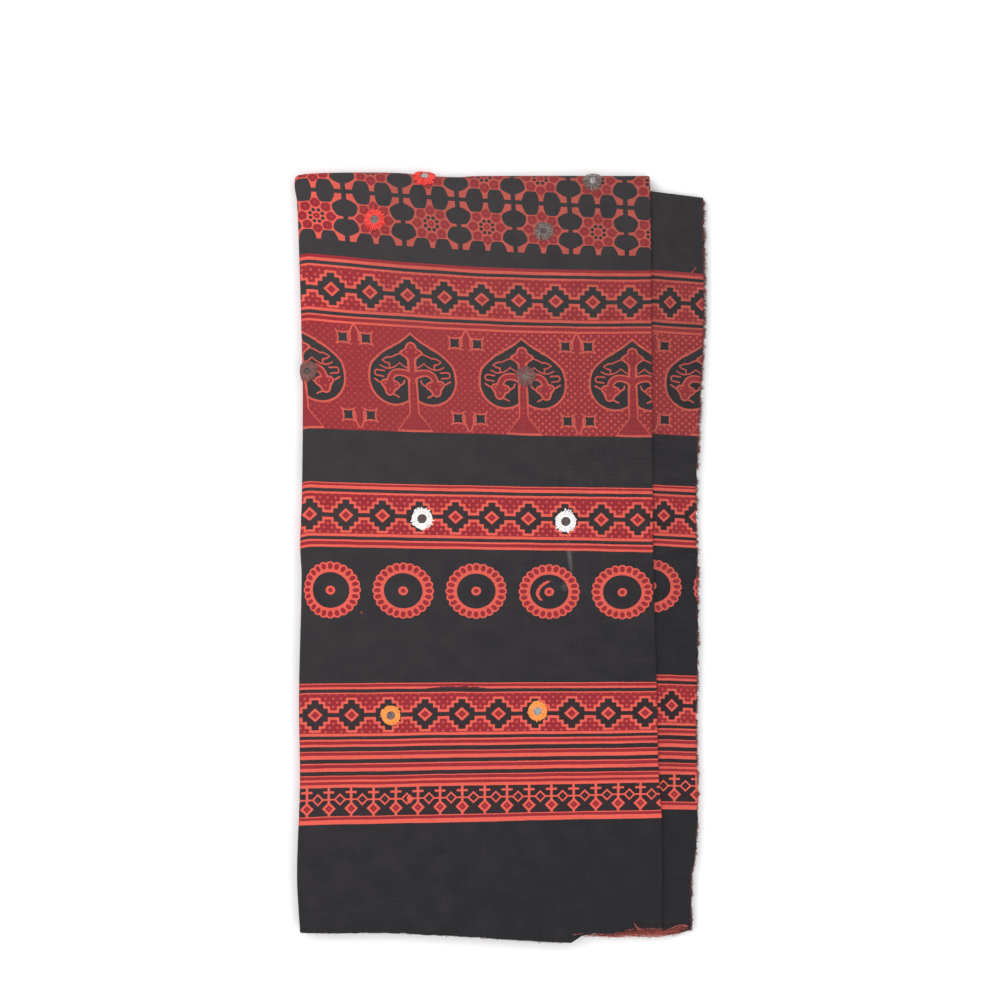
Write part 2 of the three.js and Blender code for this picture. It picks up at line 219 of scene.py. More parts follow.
@dataclass
class FoldedForm:
    """Where each point of the folded cloth lies, in millimetres."""

    thickness: float = 1.0
    pitch: float = 1.5
    half_gap: float = 0.25
    strip_inset: float = 0.2
    back_inset: float = 0.9
    strip_drop: float = 1.8
    strip_drop_run: float = 12.0
    strip_slip: float = 12.0
    strip_slip_power: float = 3.8
    bend_inset: float = 3.0
    covered_short: float = 1.8
    waves: tuple[Wave, ...] = (
        Wave(0.7, 210, 330, 0.6),
        Wave(0.5, -150, 190, 2.1),
        Wave(0.3, 90, 120, 4.0),
    )
    creases: tuple[Crease, ...] = (
        Crease((-126, 262), (-129, -255), 3.0, 3.6, 0.45),
        Crease((-117, 258), (-121, -250), 2.0, 5.0, -0.35),
        Crease((98, 255), (104, -250), -2.0, 3.0, 0.30),
        Crease((92, 250), (97, -245), -3.0, 4.5, -0.25),
        Crease((-132, 176), (-18, 196), 6.0, 7.0, -0.45),
        Crease((-20, 150), (104, 118), -5.0, 9.0, 0.40),
        Crease((-138, 52), (-48, 66), -4.0, 6.0, 0.35),
        Crease((-60, -30), (70, -52), 8.0, 10.0, -0.40),
        Crease((8, 262), (-6, 60), 5.0, 7.0, 0.25),
        Crease((-130, -150), (-20, -138), 5.0, 8.0, 0.35),
        Crease((20, -190), (108, -170), -4.0, 7.0, -0.35),
        Crease((-90, -258), (-70, -196), 4.0, 6.0, 0.35),
        Crease((40, -262), (52, -205), -5.0, 7.0, 0.45),
    )

    @property
    def half_height(self) -> float:
        """Height of one half of the pack."""
        return self.half_gap + 3 * self.pitch + self.thickness

    def level(self, layer: Layer) -> float:
        """Height of a layer's middle above the plane between the halves."""
        return self.half_gap + self.thickness / 2 + layer.value * self.pitch

    def left_centre(self, y: np.ndarray) -> np.ndarray:
        """X of the centre that both left folds turn about."""
        return LEFT_FOLD_EDGE.at(y) + self.thickness / 2 + 1.5 * self.pitch

    def right_centre(self, y: np.ndarray) -> np.ndarray:
        """X of the centre that the right fold turns about."""
        return RIGHT_FOLD_EDGE.at(y) - self.thickness / 2 - self.pitch / 2

    def fold_axis(self, x: np.ndarray) -> np.ndarray:
        """Y of the axis that the lengthwise fold turns about."""
        return TOP_FOLD_EDGE.at(x) - self.half_height

    def slip(self, x: np.ndarray) -> np.ndarray:
        """How far the two lower layers have slipped down.

        Args:
            x: Places across.

        Returns:
            The slip at each place.
        """
        left, edge = float(LEFT_FOLD_EDGE.at(0)), float(SELVEDGE.at(0))
        share = np.maximum((x - left) / (edge - left), 0)
        return self.strip_slip * share**self.strip_slip_power

    def settle(self, x: np.ndarray, y: np.ndarray, z: np.ndarray) -> np.ndarray:
        """Lets points of the flat pack down beside the front panel, and up where air lifts it.

        Args:
            x: Places across.
            y: Places along.
            z: Heights in the flat pack.

        Returns:
            The points, with X, Y and Z in the last axis.
        """
        drop = self.strip_drop * smooth_step((x - RIGHT_FOLD_EDGE.at(y)) / self.strip_drop_run)
        lift = sum(item.lift(x, y) for item in (*self.waves, *self.creases))
        low = z - drop
        raised = lift * np.maximum(low - self.thickness, 0) / (2 * self.half_height)
        return np.stack(np.broadcast_arrays(x, y, low + raised), axis=-1)

    def place(
        self, x: np.ndarray, height: np.ndarray, axis: np.ndarray, angle: np.ndarray
    ) -> np.ndarray:
        """Carries points at heights above the plane between the halves round the top fold."""
        along = axis + height * np.sin(angle)
        return self.settle(x, along, self.half_height + height * np.cos(angle))

    def on_face(self, x: np.ndarray, y: np.ndarray, height: np.ndarray) -> np.ndarray:
        """Points above the front panel's printed face.

        Args:
            x: Places across, measured along the cloth round its left fold.
            y: Places along, measured along the cloth round its top fold.
            height: Heights above the face.

        Returns:
            The settled points.
        """
        left = self.left_centre(y)
        radius = self.half_height - (self.level(Layer.BACK) + self.level(Layer.FRONT)) / 2
        round_left = np.maximum(left - x, 0) / radius
        section_x = np.where(round_left > 0, left - (radius + height) * np.sin(round_left), x)
        lowered = (radius + height) * (1 - np.cos(round_left))
        axis = self.fold_axis(section_x)
        round_top = np.maximum(y - axis, 0) / self.half_height
        return self.place(
            section_x, self.half_height + height - lowered, np.minimum(y, axis), round_top
        )

    def cloth_y(self, x: float, y: float) -> float:
        """Finds where a place that is seen from above lies along the cloth.

        Args:
            x: Its place across.
            y: Its place along, as seen.

        Returns:
            Its place along, measured round the top fold.
        """
        axis = float(self.fold_axis(x))
        if y <= axis:
            return y
        return axis + self.half_height * math.asin((y - axis) / self.half_height)


FORM = FoldedForm()


@dataclass(frozen=True)
class PrintLay:
    """Where the blocks were printed on the cloth.

    Places across and down are in millimetres of the blocks' own drawing. Down is measured from
    the middle row of stars, so it is 0 on the line that both halves of the print mirror about.
    """

    middle_row: float = 266.14
    fringe_reach: float = 9.8
    fringe_from: float = -131.6
    lean_middle: float = 0.721
    lean_fall: float = 0.00443
    front_from: float = -141.0
    front_to: float = 112.0
    solving_rounds: int = 6
    left_gather: float = 1.54
    gather_from: float = -49.0
    gather_reach: float = 68.6
    gather_down: float = 190.0
    gather_fade: float = 100.0
    squeeze_from: float = -119.0
    squeeze_reach: float = 17.8
    rosette_squeeze: float = 3.4
    rosette_rows: Rows = ((255, 0.0), (266, 1.0), (314, 1.0), (325, 0.0))
    slope: Rows = (
        (0, 0.055), (36, 0.055), (64.5, 0.0426), (108, 0.0341), (180, 0.0265), (217, 0.0188),
        (260, 0.016), (290, 0.0075), (357, -0.005), (397, -0.013), (450, -0.02),
    )
    sag: Rows = (
        (0, -0.00007), (36, -0.00007), (64.5, -0.00026), (108, -0.00021), (180, -0.00006),
        (217, -0.00005), (260, 0.0),
    )
    curl: Rows = ((0, 1.5), (50, 1.5), (65, 2.8), (250, 2.8), (300, 1.2), (380, 0.4))
    lean: Rows = ((0, 11.3), (36, 8.3), (64.5, 6.4), (110, 3.85), (180, 0.0))
    strip_from: float = 420.0
    strip_middle: float = 127.4
    strip_near: float = 100.0
    strip_far: float = 145.0
    strip_slope: Rows = ((-200, 0.07), (176, 0.03))
    strip_down: Rows = (
        (-266.0, -2.6), (-199.15, 64.5), (-156.1, 109.0), (-85.05, 180.6), (-49.35, 216.9),
        (-7.0, 260.9), (86.8, 357.6), (124.95, 397.0), (176.75, 450.4), (262.0, 536.0),
    )
    strip_across: tuple[tuple[float, float, float], ...] = (
        (64.5, 1.135, 607.0), (109.0, 1.135, 607.0), (112.0, 1.0, 608.5), (181.0, 1.0, 608.5),
        (215.0, 1.144, 594.7), (261.5, 1.144, 594.7), (268.0, 1.02, 616.9), (313.0, 1.02, 616.9),
        (352.0, 1.14, 621.2), (398.0, 1.14, 621.2), (424.0, 1.0, 615.4), (450.0, 1.0, 615.4),
    )

    @staticmethod
    def read(rows: tuple[tuple[float, ...], ...], at: np.ndarray, column: int = 1) -> np.ndarray:
        """Reads a table with straight lines between its rows."""
        return np.interp(at, [row[0] for row in rows], [row[column] for row in rows])

    def lay(
        self, across: np.ndarray, x: np.ndarray, y: np.ndarray
    ) -> tuple[np.ndarray, np.ndarray]:
        """Finds the print's place on the front half.

        Args:
            across: Place across the flat cloth, which is X on the front panel.
            x: X on the folded cloth.
            y: Y on the folded cloth.

        Returns:
            The place across and down the print.
        """
        seen = np.clip(across, self.front_from, self.front_to)
        below = self.middle_row - y
        down = below
        gather = np.maximum(0, (self.fringe_from - seen) / self.fringe_reach) ** 2
        for _ in range(self.solving_rounds):
            tilt = self.read(self.slope, down) * seen + self.read(self.sag, down) * seen**2
            down = below - tilt - self.read(self.curl, down) * gather
        lean = self.read(self.lean, down) * (self.lean_middle - self.lean_fall * seen)
        pulled = (np.maximum(self.gather_from - seen, 0) / self.gather_reach) ** 2
        pulled = pulled * np.clip((self.gather_down - down) / self.gather_fade, 0, 1)
        squeezed = (np.maximum(self.squeeze_from - seen, 0) / self.squeeze_reach) ** 2
        squeezed = squeezed * self.read(self.rosette_rows, down)
        main = across + lean + self.left_gather * pulled - self.rosette_squeeze * squeezed
        beside = np.clip(x, self.strip_near, self.strip_far) - self.strip_middle
        level = -(y + beside * self.read(self.strip_slope, -y))
        strip_down = self.read(self.strip_down, level)
        wide = self.read(self.strip_across, strip_down, 1)
        strip = self.read(self.strip_across, strip_down, 2) + wide * (x - self.strip_middle)
        on_strip = across > self.strip_from
        return np.where(on_strip, strip, main), np.where(on_strip, strip_down, down)


LAY = PrintLay()


def make_mesh(
    name: str,
    points: np.ndarray,
    faces: list[tuple[int, ...]],
    smooth_angle: float | None = 50.0,
) -> bpy.types.Object:
    """Makes a mesh object at the origin from points in millimetres.

    Args:
        name: The piece's name.
        points: Points, one a row.
        faces: Corners of each face, by the points' numbers.
        smooth_angle: Edges turning less than this many degrees are shaded smooth.

    Returns:
        The new object, linked to the scene.
    """
    mesh = bpy.data.meshes.new(name)
    mesh.from_pydata((points * MM).tolist(), [], faces)
    mesh.validate()
    made = bpy.data.objects.new(name, mesh)
    bpy.context.scene.collection.objects.link(made)
    if smooth_angle is not None:
        bpy.ops.object.select_all(action="DESELECT")
        made.select_set(True)
        bpy.context.view_layer.objects.active = made
        bpy.ops.object.shade_smooth_by_angle(angle=math.radians(smooth_angle))
        made.select_set(False)
    return made


def grid_faces(rows: int, columns: int, wrap: bool) -> list[tuple[int, ...]]:
    """Quads of a grid of points.

    Args:
        rows: Count of rows.
        columns: Count of points in a row.
        wrap: Whether each row closes on itself.

    Returns:
        Corners of each quad.
    """
    faces = []
    for row in range(rows - 1):
        for column in range(columns if wrap else columns - 1):
            beside = (column + 1) % columns
            here, above = row * columns, (row + 1) * columns
            faces.append((here + column, above + column, above + beside, here + beside))
    return faces


@dataclass
class TubeBatch:
    """Many thin tubes, gathered into one mesh."""

    sides: int = 5
    points: list[np.ndarray] = field(default_factory=list)
    faces: list[tuple[int, ...]] = field(default_factory=list)
    shades: list[np.ndarray] = field(default_factory=list)
    count: int = 0

    def add(self, path: np.ndarray, radii: np.ndarray, shade: float, flat: float = 1.0) -> None:
        """Adds a closed tube.

        Args:
            path: Points that it follows, in millimetres.
            radii: Its radius at each of them.
            shade: A number from 0 to 1 by which its material varies it.
            flat: Its thickness as a share of its width.
        """
        along = np.gradient(path, axis=0)
        along /= np.linalg.norm(along, axis=1, keepdims=True) + 1e-9
        up = np.array([0.0, 0.0, 1.0])
        across = np.cross(along, up)
        lengths = np.linalg.norm(across, axis=1, keepdims=True)
        across = np.where(lengths > 1e-3, across / (lengths + 1e-9), np.array([1.0, 0.0, 0.0]))
        over = np.cross(across, along)
        angles = 2 * np.pi * np.arange(self.sides) / self.sides
        rings = (
            path[:, None, :]
            + across[:, None, :] * (np.cos(angles)[None, :, None] * radii[:, None, None])
            + over[:, None, :] * (np.sin(angles)[None, :, None] * radii[:, None, None] * flat)
        )
        steps = len(path)
        base = self.count
        for face in grid_faces(steps, self.sides, True):
            self.faces.append(tuple(base + corner for corner in face))
        first = [base + corner for corner in range(self.sides)]
        last = [base + (steps - 1) * self.sides + corner for corner in range(self.sides)]
        self.faces.append(tuple(first))
        self.faces.append(tuple(reversed(last)))
        self.points.append(rings.reshape(-1, 3))
        self.shades.append(np.full(steps * self.sides, shade))
        self.count += steps * self.sides

    def make(self, name: str) -> bpy.types.Object:
        """Makes the mesh, with its shades in an attribute named Shade.

        Args:
            name: The piece's name.

        Returns:
            The new object.
        """
        made = make_mesh(name, np.concatenate(self.points), self.faces)
        layer = made.data.attributes.new("Shade", "FLOAT", "POINT")
        layer.data.foreach_set("value", np.concatenate(self.shades).astype(np.float32))
        return made


@dataclass
class Sheet:
    """The folded cloth as one thin closed sheet, with its printed side out."""

    name: str = "cloth_sheet"
    printed_offset: float = 0.5
    wrong_offset: float = -0.2
    strip_steps: int = 14
    covered_steps: int = 12
    front_steps: int = 68
    small_fold_steps: int = 6
    right_fold_steps: int = 10
    left_fold_steps: int = 14
    front_rows: int = 140
    fold_rows: int = 20
    back_rows: int = 44
    strip_shift: float = 492.0
    edge_unevenness: float = 0.22
    seed: int = 7

    def stations(self, y: np.ndarray) -> dict[str, np.ndarray]:
        """Stations across the cloth's section, from the strip's selvedge to the back layer's.

        Args:
            y: Y of each station's cross-section, rows by stations, or a single number.

        Returns:
            X, height, the printed side's direction, the print's place across, and two flags.
        """
        form = FORM
        columns: list[dict[str, object]] = []
        edge, left, right = SELVEDGE.at, form.left_centre, form.right_centre
        small = form.pitch / 2

        def bend(at: np.ndarray) -> np.ndarray:
            """X where the strip comes out from under the front."""
            return RIGHT_FOLD_EDGE.at(at) - form.bend_inset

        def inner_edge(at: np.ndarray) -> np.ndarray:
            """X of the strip's selvedge."""
            return edge(at) - form.strip_inset - 0.4 + self.ragged(at, 0.0)

        def back_edge(at: np.ndarray) -> np.ndarray:
            """X of the back layer's selvedge."""
            return edge(at) - form.back_inset + self.ragged(at, 2.0)

        def run(
            begin: EdgeLine, finish: EdgeLine, layer: Layer, steps: int, print_at: PrintLine
        ) -> None:
            """Adds the stations of a flat run.

            Args:
                begin: X of its start.
                finish: X of its end.
                layer: The layer that it is.
                steps: Its count of stations.
                print_at: The print's place across.
            """
            side = -1 if layer in (Layer.TUCKED, Layer.BACK) else 1
            slips = layer in (Layer.BACK, Layer.STRIP)
            for step in range(steps):
                columns.append(dict(
                    begin=begin, finish=finish, share=step / steps, shift=0.0,
                    height=form.level(layer), side_x=0.0, side_height=float(side),
                    slips=slips, covered=steps == self.covered_steps, print_at=print_at,
                ))

        def turn(
            centre: EdgeLine, low: Layer, high: Layer, radius: float, way: tuple[int, int],
            steps: int, print_at: Callable[[np.ndarray, float], np.ndarray],
        ) -> None:
            """Adds the stations round a fold.

            Args:
                centre: X of what it turns about.
                low: The lower layer that it joins.
                high: The upper one.
                radius: Its radius.
                way: Which end it starts at, and which way it bulges.
                steps: Its count of stations.
                print_at: The print's place across, by the share that has turned.
            """
            middle = (form.level(low) + form.level(high)) / 2
            first, outward = way
            face = -first * outward
            for step in range(steps):
                angle = first * (math.pi / 2) * (1 - 2 * step / steps)
                out, up = outward * math.cos(angle), math.sin(angle)
                columns.append(dict(
                    begin=centre, finish=centre, share=0.0, shift=radius * out,
                    height=middle + radius * up, side_x=face * out, side_height=face * up,
                    slips=False, covered=False,
                    print_at=lambda x, at, turned=step / steps: print_at(at, turned),
                ))

        def strip_print(x: np.ndarray, at: np.ndarray) -> np.ndarray:
            """The print's place across on the strip's layer."""
            return x + self.strip_shift

        def back_print(x: np.ndarray, at: np.ndarray) -> np.ndarray:
            """The print's place across on the back layer."""
            return 2 * left(at) - math.pi * 3 * small - x

        run(inner_edge, bend, Layer.STRIP, self.strip_steps, strip_print)
        run(bend, left, Layer.STRIP, self.covered_steps, strip_print)
        turn(left, Layer.STRIP, Layer.TUCKED, small, (-1, -1), self.small_fold_steps,
             lambda at, turned: left(at) + self.strip_shift - math.pi * small * turned)
        run(left, right, Layer.TUCKED, self.covered_steps,
            lambda x, at: 2 * right(at) + math.pi * small - x)
        turn(right, Layer.TUCKED, Layer.FRONT, small, (-1, 1), self.right_fold_steps,
             lambda at, turned: right(at) + math.pi * small * (1 - turned))
        run(right, left, Layer.FRONT, self.front_steps, lambda x, at: x)
        turn(left, Layer.BACK, Layer.FRONT, 3 * small, (1, -1), self.left_fold_steps,
             lambda at, turned: left(at) - math.pi * 3 * small * turned)
        run(left, bend, Layer.BACK, self.covered_steps, back_print)
        run(bend, back_edge, Layer.BACK, self.strip_steps, back_print)
        columns.append({**columns[-1], "share": 1.0})

        y = np.broadcast_to(np.asarray(y, float), np.shape(y) or (1, len(columns)))
        if y.shape[-1] != len(columns):
            y = np.broadcast_to(y, (*y.shape[:-1], len(columns)))
        x = np.empty(y.shape)
        across = np.empty(y.shape)
        for number, column in enumerate(columns):
            at = y[:, number]
            begin, finish = column["begin"](at), column["finish"](at)
            x[:, number] = begin + (finish - begin) * column["share"] + column["shift"]
            across[:, number] = column["print_at"](x[:, number], at)

        keys = ("height", "side_x", "side_height", "slips", "covered")
        section = {key: np.array([column[key] for column in columns]) for key in keys}
        return {**section, "x": x, "across": across}

    @staticmethod
    def ragged(at: np.ndarray, turn: float) -> np.ndarray:
        """How far a worn edge strays from its line at each Y."""
        long_waves = 0.34 * np.sin(at * 0.61 + turn) + 0.28 * np.sin(at * 0.37 + 1.0 + turn)
        return long_waves + 0.22 * np.sin(at * 0.83 + 2.0 + turn)

    def rows(self) -> tuple[np.ndarray, np.ndarray]:
        """Rows along the cloth, from the front raw edge round the fold to the back one.

        Returns:
            Each row's turn about the fold's axis, and its share of the way up to the fold.
        """
        front, fold, back = self.front_rows, self.fold_rows, self.back_rows
        angles = np.concatenate([
            np.zeros(front), np.pi * np.arange(fold) / fold, np.full(back + 1, np.pi),
        ])
        shares = np.concatenate([
            np.arange(front) / front, np.ones(fold), 1 - np.arange(back + 1) / back,
        ])
        return angles, shares

    def build(self) -> bpy.types.Object:
        """Builds the sheet with its UV maps.

        Returns:
            The sheet.
        """
        form = FORM
        middle = self.stations(0.0)
        near_x = middle["x"][0]
        angles, shares = self.rows()
        fold = form.fold_axis(near_x) - np.where(middle["slips"], form.slip(near_x), 0)
        random = np.random.default_rng(self.seed)
        cut = random.normal(0, self.edge_unevenness, (2, len(near_x)))
        front_end = FRONT_RAW_EDGE.at(near_x) + cut[0]
        front_end = front_end + np.where(middle["covered"], form.covered_short, 0)
        back_end = BACK_RAW_EDGE.at(near_x) + cut[1]
        end = np.where(angles[:, None] > 0, back_end, front_end)
        axis = end + (fold - end) * shares[:, None]
        section = self.stations(axis)
        sides = []
        for offset in (self.printed_offset, self.wrong_offset):
            x = section["x"] + offset * section["side_x"]
            height = section["height"] + offset * section["side_height"]
            sides.append(form.place(x, height, axis, angles[:, None]))
        loop = np.concatenate([sides[0], sides[1][:, ::-1]], axis=1)
        count, around = loop.shape[:2]
        half = around // 2
        faces = grid_faces(count, around, True)
        for row in (0, count - 1):
            base = row * around
            for column in range(half - 1):
                corners = (column, column + 1, around - 2 - column, around - 1 - column)
                ordered = corners if row == 0 else tuple(reversed(corners))
                faces.append(tuple(base + corner for corner in ordered))
        made = make_mesh(self.name, loop.reshape(-1, 3), faces, 40.0)
        self.map_print(made, section, axis, fold, angles)
        self.map_bake(made, half)
        return made

    def map_print(
        self,
        made: bpy.types.Object,
        section: dict[str, np.ndarray],
        axis: np.ndarray,
        fold: np.ndarray,
        angles: np.ndarray,
    ) -> None:
        """Gives the sheet the UV map that its print is laid out in, in millimetres.

        Args:
            made: The sheet.
            section: The stations across it.
            axis: Y of each station's cross-section.
            fold: Y of the lengthwise fold's axis at each station.
            angles: Each row's turn about that axis.
        """
        turned = angles[:, None]
        seen = np.where(turned > 0, fold, axis)
        across, down = LAY.lay(section["across"], section["x"], seen)
        beyond = np.where(turned >= np.pi, fold - axis, 0)
        down = down - FORM.half_height * turned - beyond
        flat = np.stack([across, down], axis=-1)
        looped = np.concatenate([flat, flat[:, ::-1]], axis=1).reshape(-1, 2)
        corners = np.empty(len(made.data.loops), np.int32)
        made.data.loops.foreach_get("vertex_index", corners)
        layer = made.data.uv_layers.new(name="ClothFlat")
        layer.data.foreach_set("uv", looped[corners].astype(np.float32).ravel())
        wrong = np.zeros((across.shape[0], 2 * across.shape[1]), np.float32)
        wrong[:, across.shape[1]:] = 1.0
        side = made.data.attributes.new("WrongSide", "FLOAT", "POINT")
        side.data.foreach_set("value", wrong.ravel())

    def map_bake(self, made: bpy.types.Object, stations: int) -> None:
        """Gives the sheet a flat UV map without overlaps, with most of it for the seen faces.

        Args:
            made: The sheet.
            stations: Count of stations on its printed side.
        """
        runs = (
            (self.strip_steps, 0.075), (self.covered_steps, 0.006), (self.small_fold_steps, 0.005),
            (self.covered_steps, 0.006), (self.right_fold_steps, 0.02), (self.front_steps, 0.47),
            (self.left_fold_steps, 0.03), (self.covered_steps, 0.006), (self.strip_steps, 0.012),
        )
        steps = [weight / count for count, weight in runs for _ in range(count)]
        seam, wrong_share = 0.001, 0.028
        steps += [seam] + [wrong_share / (stations - 1)] * (stations - 1) + [seam]
        columns = np.concatenate([[0], np.cumsum(steps)])
        cap, front_share, fold_share = 0.01, 0.94, 0.05
        rises = [front_share / self.front_rows] * self.front_rows
        rises += [fold_share / self.fold_rows] * self.fold_rows
        blocks = (
            (columns, cap + np.concatenate([[0], np.cumsum(rises)])),
            (columns[-1] + columns * (1 - columns[-1]) / columns[-1],
             cap + (1 - cap) * np.arange(self.back_rows + 1) / self.back_rows),
        )
        parts = []
        for wide, tall in blocks:
            left, right = wide[None, :-1], wide[None, 1:]
            low, high = tall[:-1, None], tall[1:, None]
            corners = ((left, low), (left, high), (right, high), (right, low))
            quads = [np.stack(np.broadcast_arrays(*corner), axis=-1) for corner in corners]
            parts.append(np.stack(quads, axis=2).reshape(-1, 2))
        for number, (wide, _) in enumerate(blocks):
            left, right = wide[: stations - 1], wide[1:stations]
            low, high = np.full(stations - 1, seam), np.full(stations - 1, cap * 0.8)
            corners = ((left, low), (right, low), (right, high), (left, high))
            quads = [np.stack(corner, axis=-1) for corner in corners]
            ordered = quads if number == 0 else quads[::-1]
            parts.append(np.stack(ordered, axis=1).reshape(-1, 2))
        places = np.concatenate(parts)
        if len(places) != len(made.data.loops):
            raise ValueError(f"the bake map has {len(places)} corners, not {len(made.data.loops)}")
        layer = made.data.uv_layers.new(name="OFBake")
        layer.data.foreach_set("uv", places.astype(np.float32).ravel())


@dataclass(frozen=True)
class Mirror:
    """A mirror's centre as seen from above, its ring's thread and its glass."""

    x: float
    y: float
    thread: Thread
    glass: Glass
    on_fold: bool = False


MIRRORS = (
    Mirror(-87.6, 235.3, Thread.RED, Glass.DULL),
    Mirror(-52.7, 265.6, Thread.RED, Glass.DULL, True),
    Mirror(30.5, 227.2, Thread.GREY, Glass.DARK),
    Mirror(64.6, 262.3, Thread.GREY, Glass.CLEAR, True),
    Mirror(18.2, 126.0, Thread.BROWN, Glass.DULL),
    Mirror(-134.0, 129.5, Thread.BROWN, Glass.DARK, True),
    Mirror(-54.4, 26.5, Thread.WHITE, Glass.DARK),
    Mirror(45.9, 24.6, Thread.WHITE, Glass.DARK),
    Mirror(-76.1, -110.7, Thread.ORANGE, Glass.DULL),
    Mirror(26.3, -107.8, Thread.ORANGE, Glass.CLEAR),
)


@dataclass(frozen=True)
class RingLook:
    """How the rings of one thread are stitched, in millimetres."""

    opening: float
    outer: float
    stitches: int
    thread_radius: float
    lean: float = 0.09
    bedded: bool = True


RING_LOOKS = {
    Thread.RED: RingLook(2.95, 7.2, 44, 0.42),
    Thread.GREY: RingLook(2.2, 6.5, 170, 0.10, lean=0.34, bedded=False),
    Thread.BROWN: RingLook(2.4, 6.7, 84, 0.24),
    Thread.WHITE: RingLook(3.3, 7.3, 44, 0.42),
    Thread.ORANGE: RingLook(2.95, 6.5, 44, 0.42),
}


@dataclass
class StitchedRing:
    """The buttonhole stitches that hold one mirror: radial threads over a cord round its rim."""

    mirror: Mirror
    number: int
    first_seed: int = 100
    rise_on_fold: float = 0.25
    lobe: float = 0.5
    spread: float = 0.42
    stitch_points: int = 7
    rim_points: int = 73
    bed_height: float = 0.55
    bed_width: float = 1.85
    bed_width_on_fold: float = 1.3
    bed_flatness: float = 0.3
    cord_height: float = 1.45
    cord_radius: float = 0.27
    cord_twists: int = 14
    cord_sway: float = 0.16
    threads: TubeBatch = field(default_factory=lambda: TubeBatch(sides=6))

    @property
    def look(self) -> RingLook:
        """How a ring of this mirror's thread is stitched."""
        return RING_LOOKS[self.mirror.thread]

    def point(self, radius: np.ndarray, angle: np.ndarray, height: np.ndarray) -> np.ndarray:
        """Finds points over the cloth's face by their place round the mirror.

        Args:
            radius: Distances from the mirror's centre.
            angle: Turns about it.
            height: Heights over the face.

        Returns:
            The points.
        """
        mirror = self.mirror
        y = FORM.cloth_y(mirror.x, mirror.y)
        rise = self.rise_on_fold if mirror.on_fold else 0.0
        at_x = mirror.x + radius * np.cos(angle)
        at_y = y + radius * np.sin(angle)
        return FORM.on_face(at_x, at_y, height + rise)

    def add_stitches(self, random: np.random.Generator) -> None:
        """Adds the radial threads, which reach out unevenly.

        Args:
            random: The ring's own source of unevenness.
        """
        look = self.look
        share = np.linspace(0, 1, self.stitch_points)
        phases = random.uniform(0, 2 * np.pi, 3)
        for stitch in range(look.stitches):
            angle = 2 * np.pi * (stitch + random.uniform(-0.4, 0.4)) / look.stitches
            lobes = (math.sin(count * angle + turn) for count, turn in zip((2, 3, 5), phases))
            uneven = self.lobe * sum(lobes) * 0.75
            reach = look.outer + uneven + abs(random.normal(0, self.spread)) - self.spread / 2
            inner = look.opening + 0.15 + random.normal(0, 0.14)
            lean = random.normal(0, look.lean)
            radius = inner + (reach - inner) * share
            height = 0.45 + 1.15 * np.sin(np.pi * np.clip(0.28 + 0.72 * share, 0, 1))
            height = height + random.normal(0, 0.07)
            thick = look.thread_radius * (0.8 + 0.35 * share) * random.uniform(0.85, 1.15)
            path = self.point(radius, angle + lean * share, height)
            self.threads.add(path, thick, float(random.uniform()), 0.75)

    def add_rim(self, random: np.random.Generator) -> None:
        """Adds the padding under the stitches and the twisted cord round the glass.

        Args:
            random: The ring's own source of unevenness.
        """
        look = self.look
        turns = np.linspace(0, 2 * np.pi, self.rim_points)
        all_round = np.ones(self.rim_points)
        if look.bedded:
            middle = all_round * ((look.opening + look.outer) / 2)
            wide = self.bed_width_on_fold if self.mirror.on_fold else self.bed_width
            path = self.point(middle, turns, all_round * self.bed_height)
            self.threads.add(path, all_round * wide, 0.45, self.bed_flatness)
        for strand in range(2):
            phase = self.cord_twists * turns + np.pi * strand
            uneven = self.cord_sway * np.cos(phase) + 0.12 * np.sin(2 * turns + strand)
            height = self.cord_height + self.cord_sway * np.sin(phase)
            path = self.point(look.opening + 0.35 + uneven, turns, height)
            self.threads.add(path, all_round * self.cord_radius, float(random.uniform()))

    def build(self) -> bpy.types.Object:
        """Builds the ring as one mesh.

        Returns:
            The ring.
        """
        random = np.random.default_rng(self.first_seed + self.number)
        self.add_stitches(random)
        self.add_rim(random)
        label = f"{self.number:02d}"
        made = self.threads.make(f"mirror_stitches_{label}")
        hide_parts(f"mirror_ring_{label}")
        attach(made, BODY)
        return made


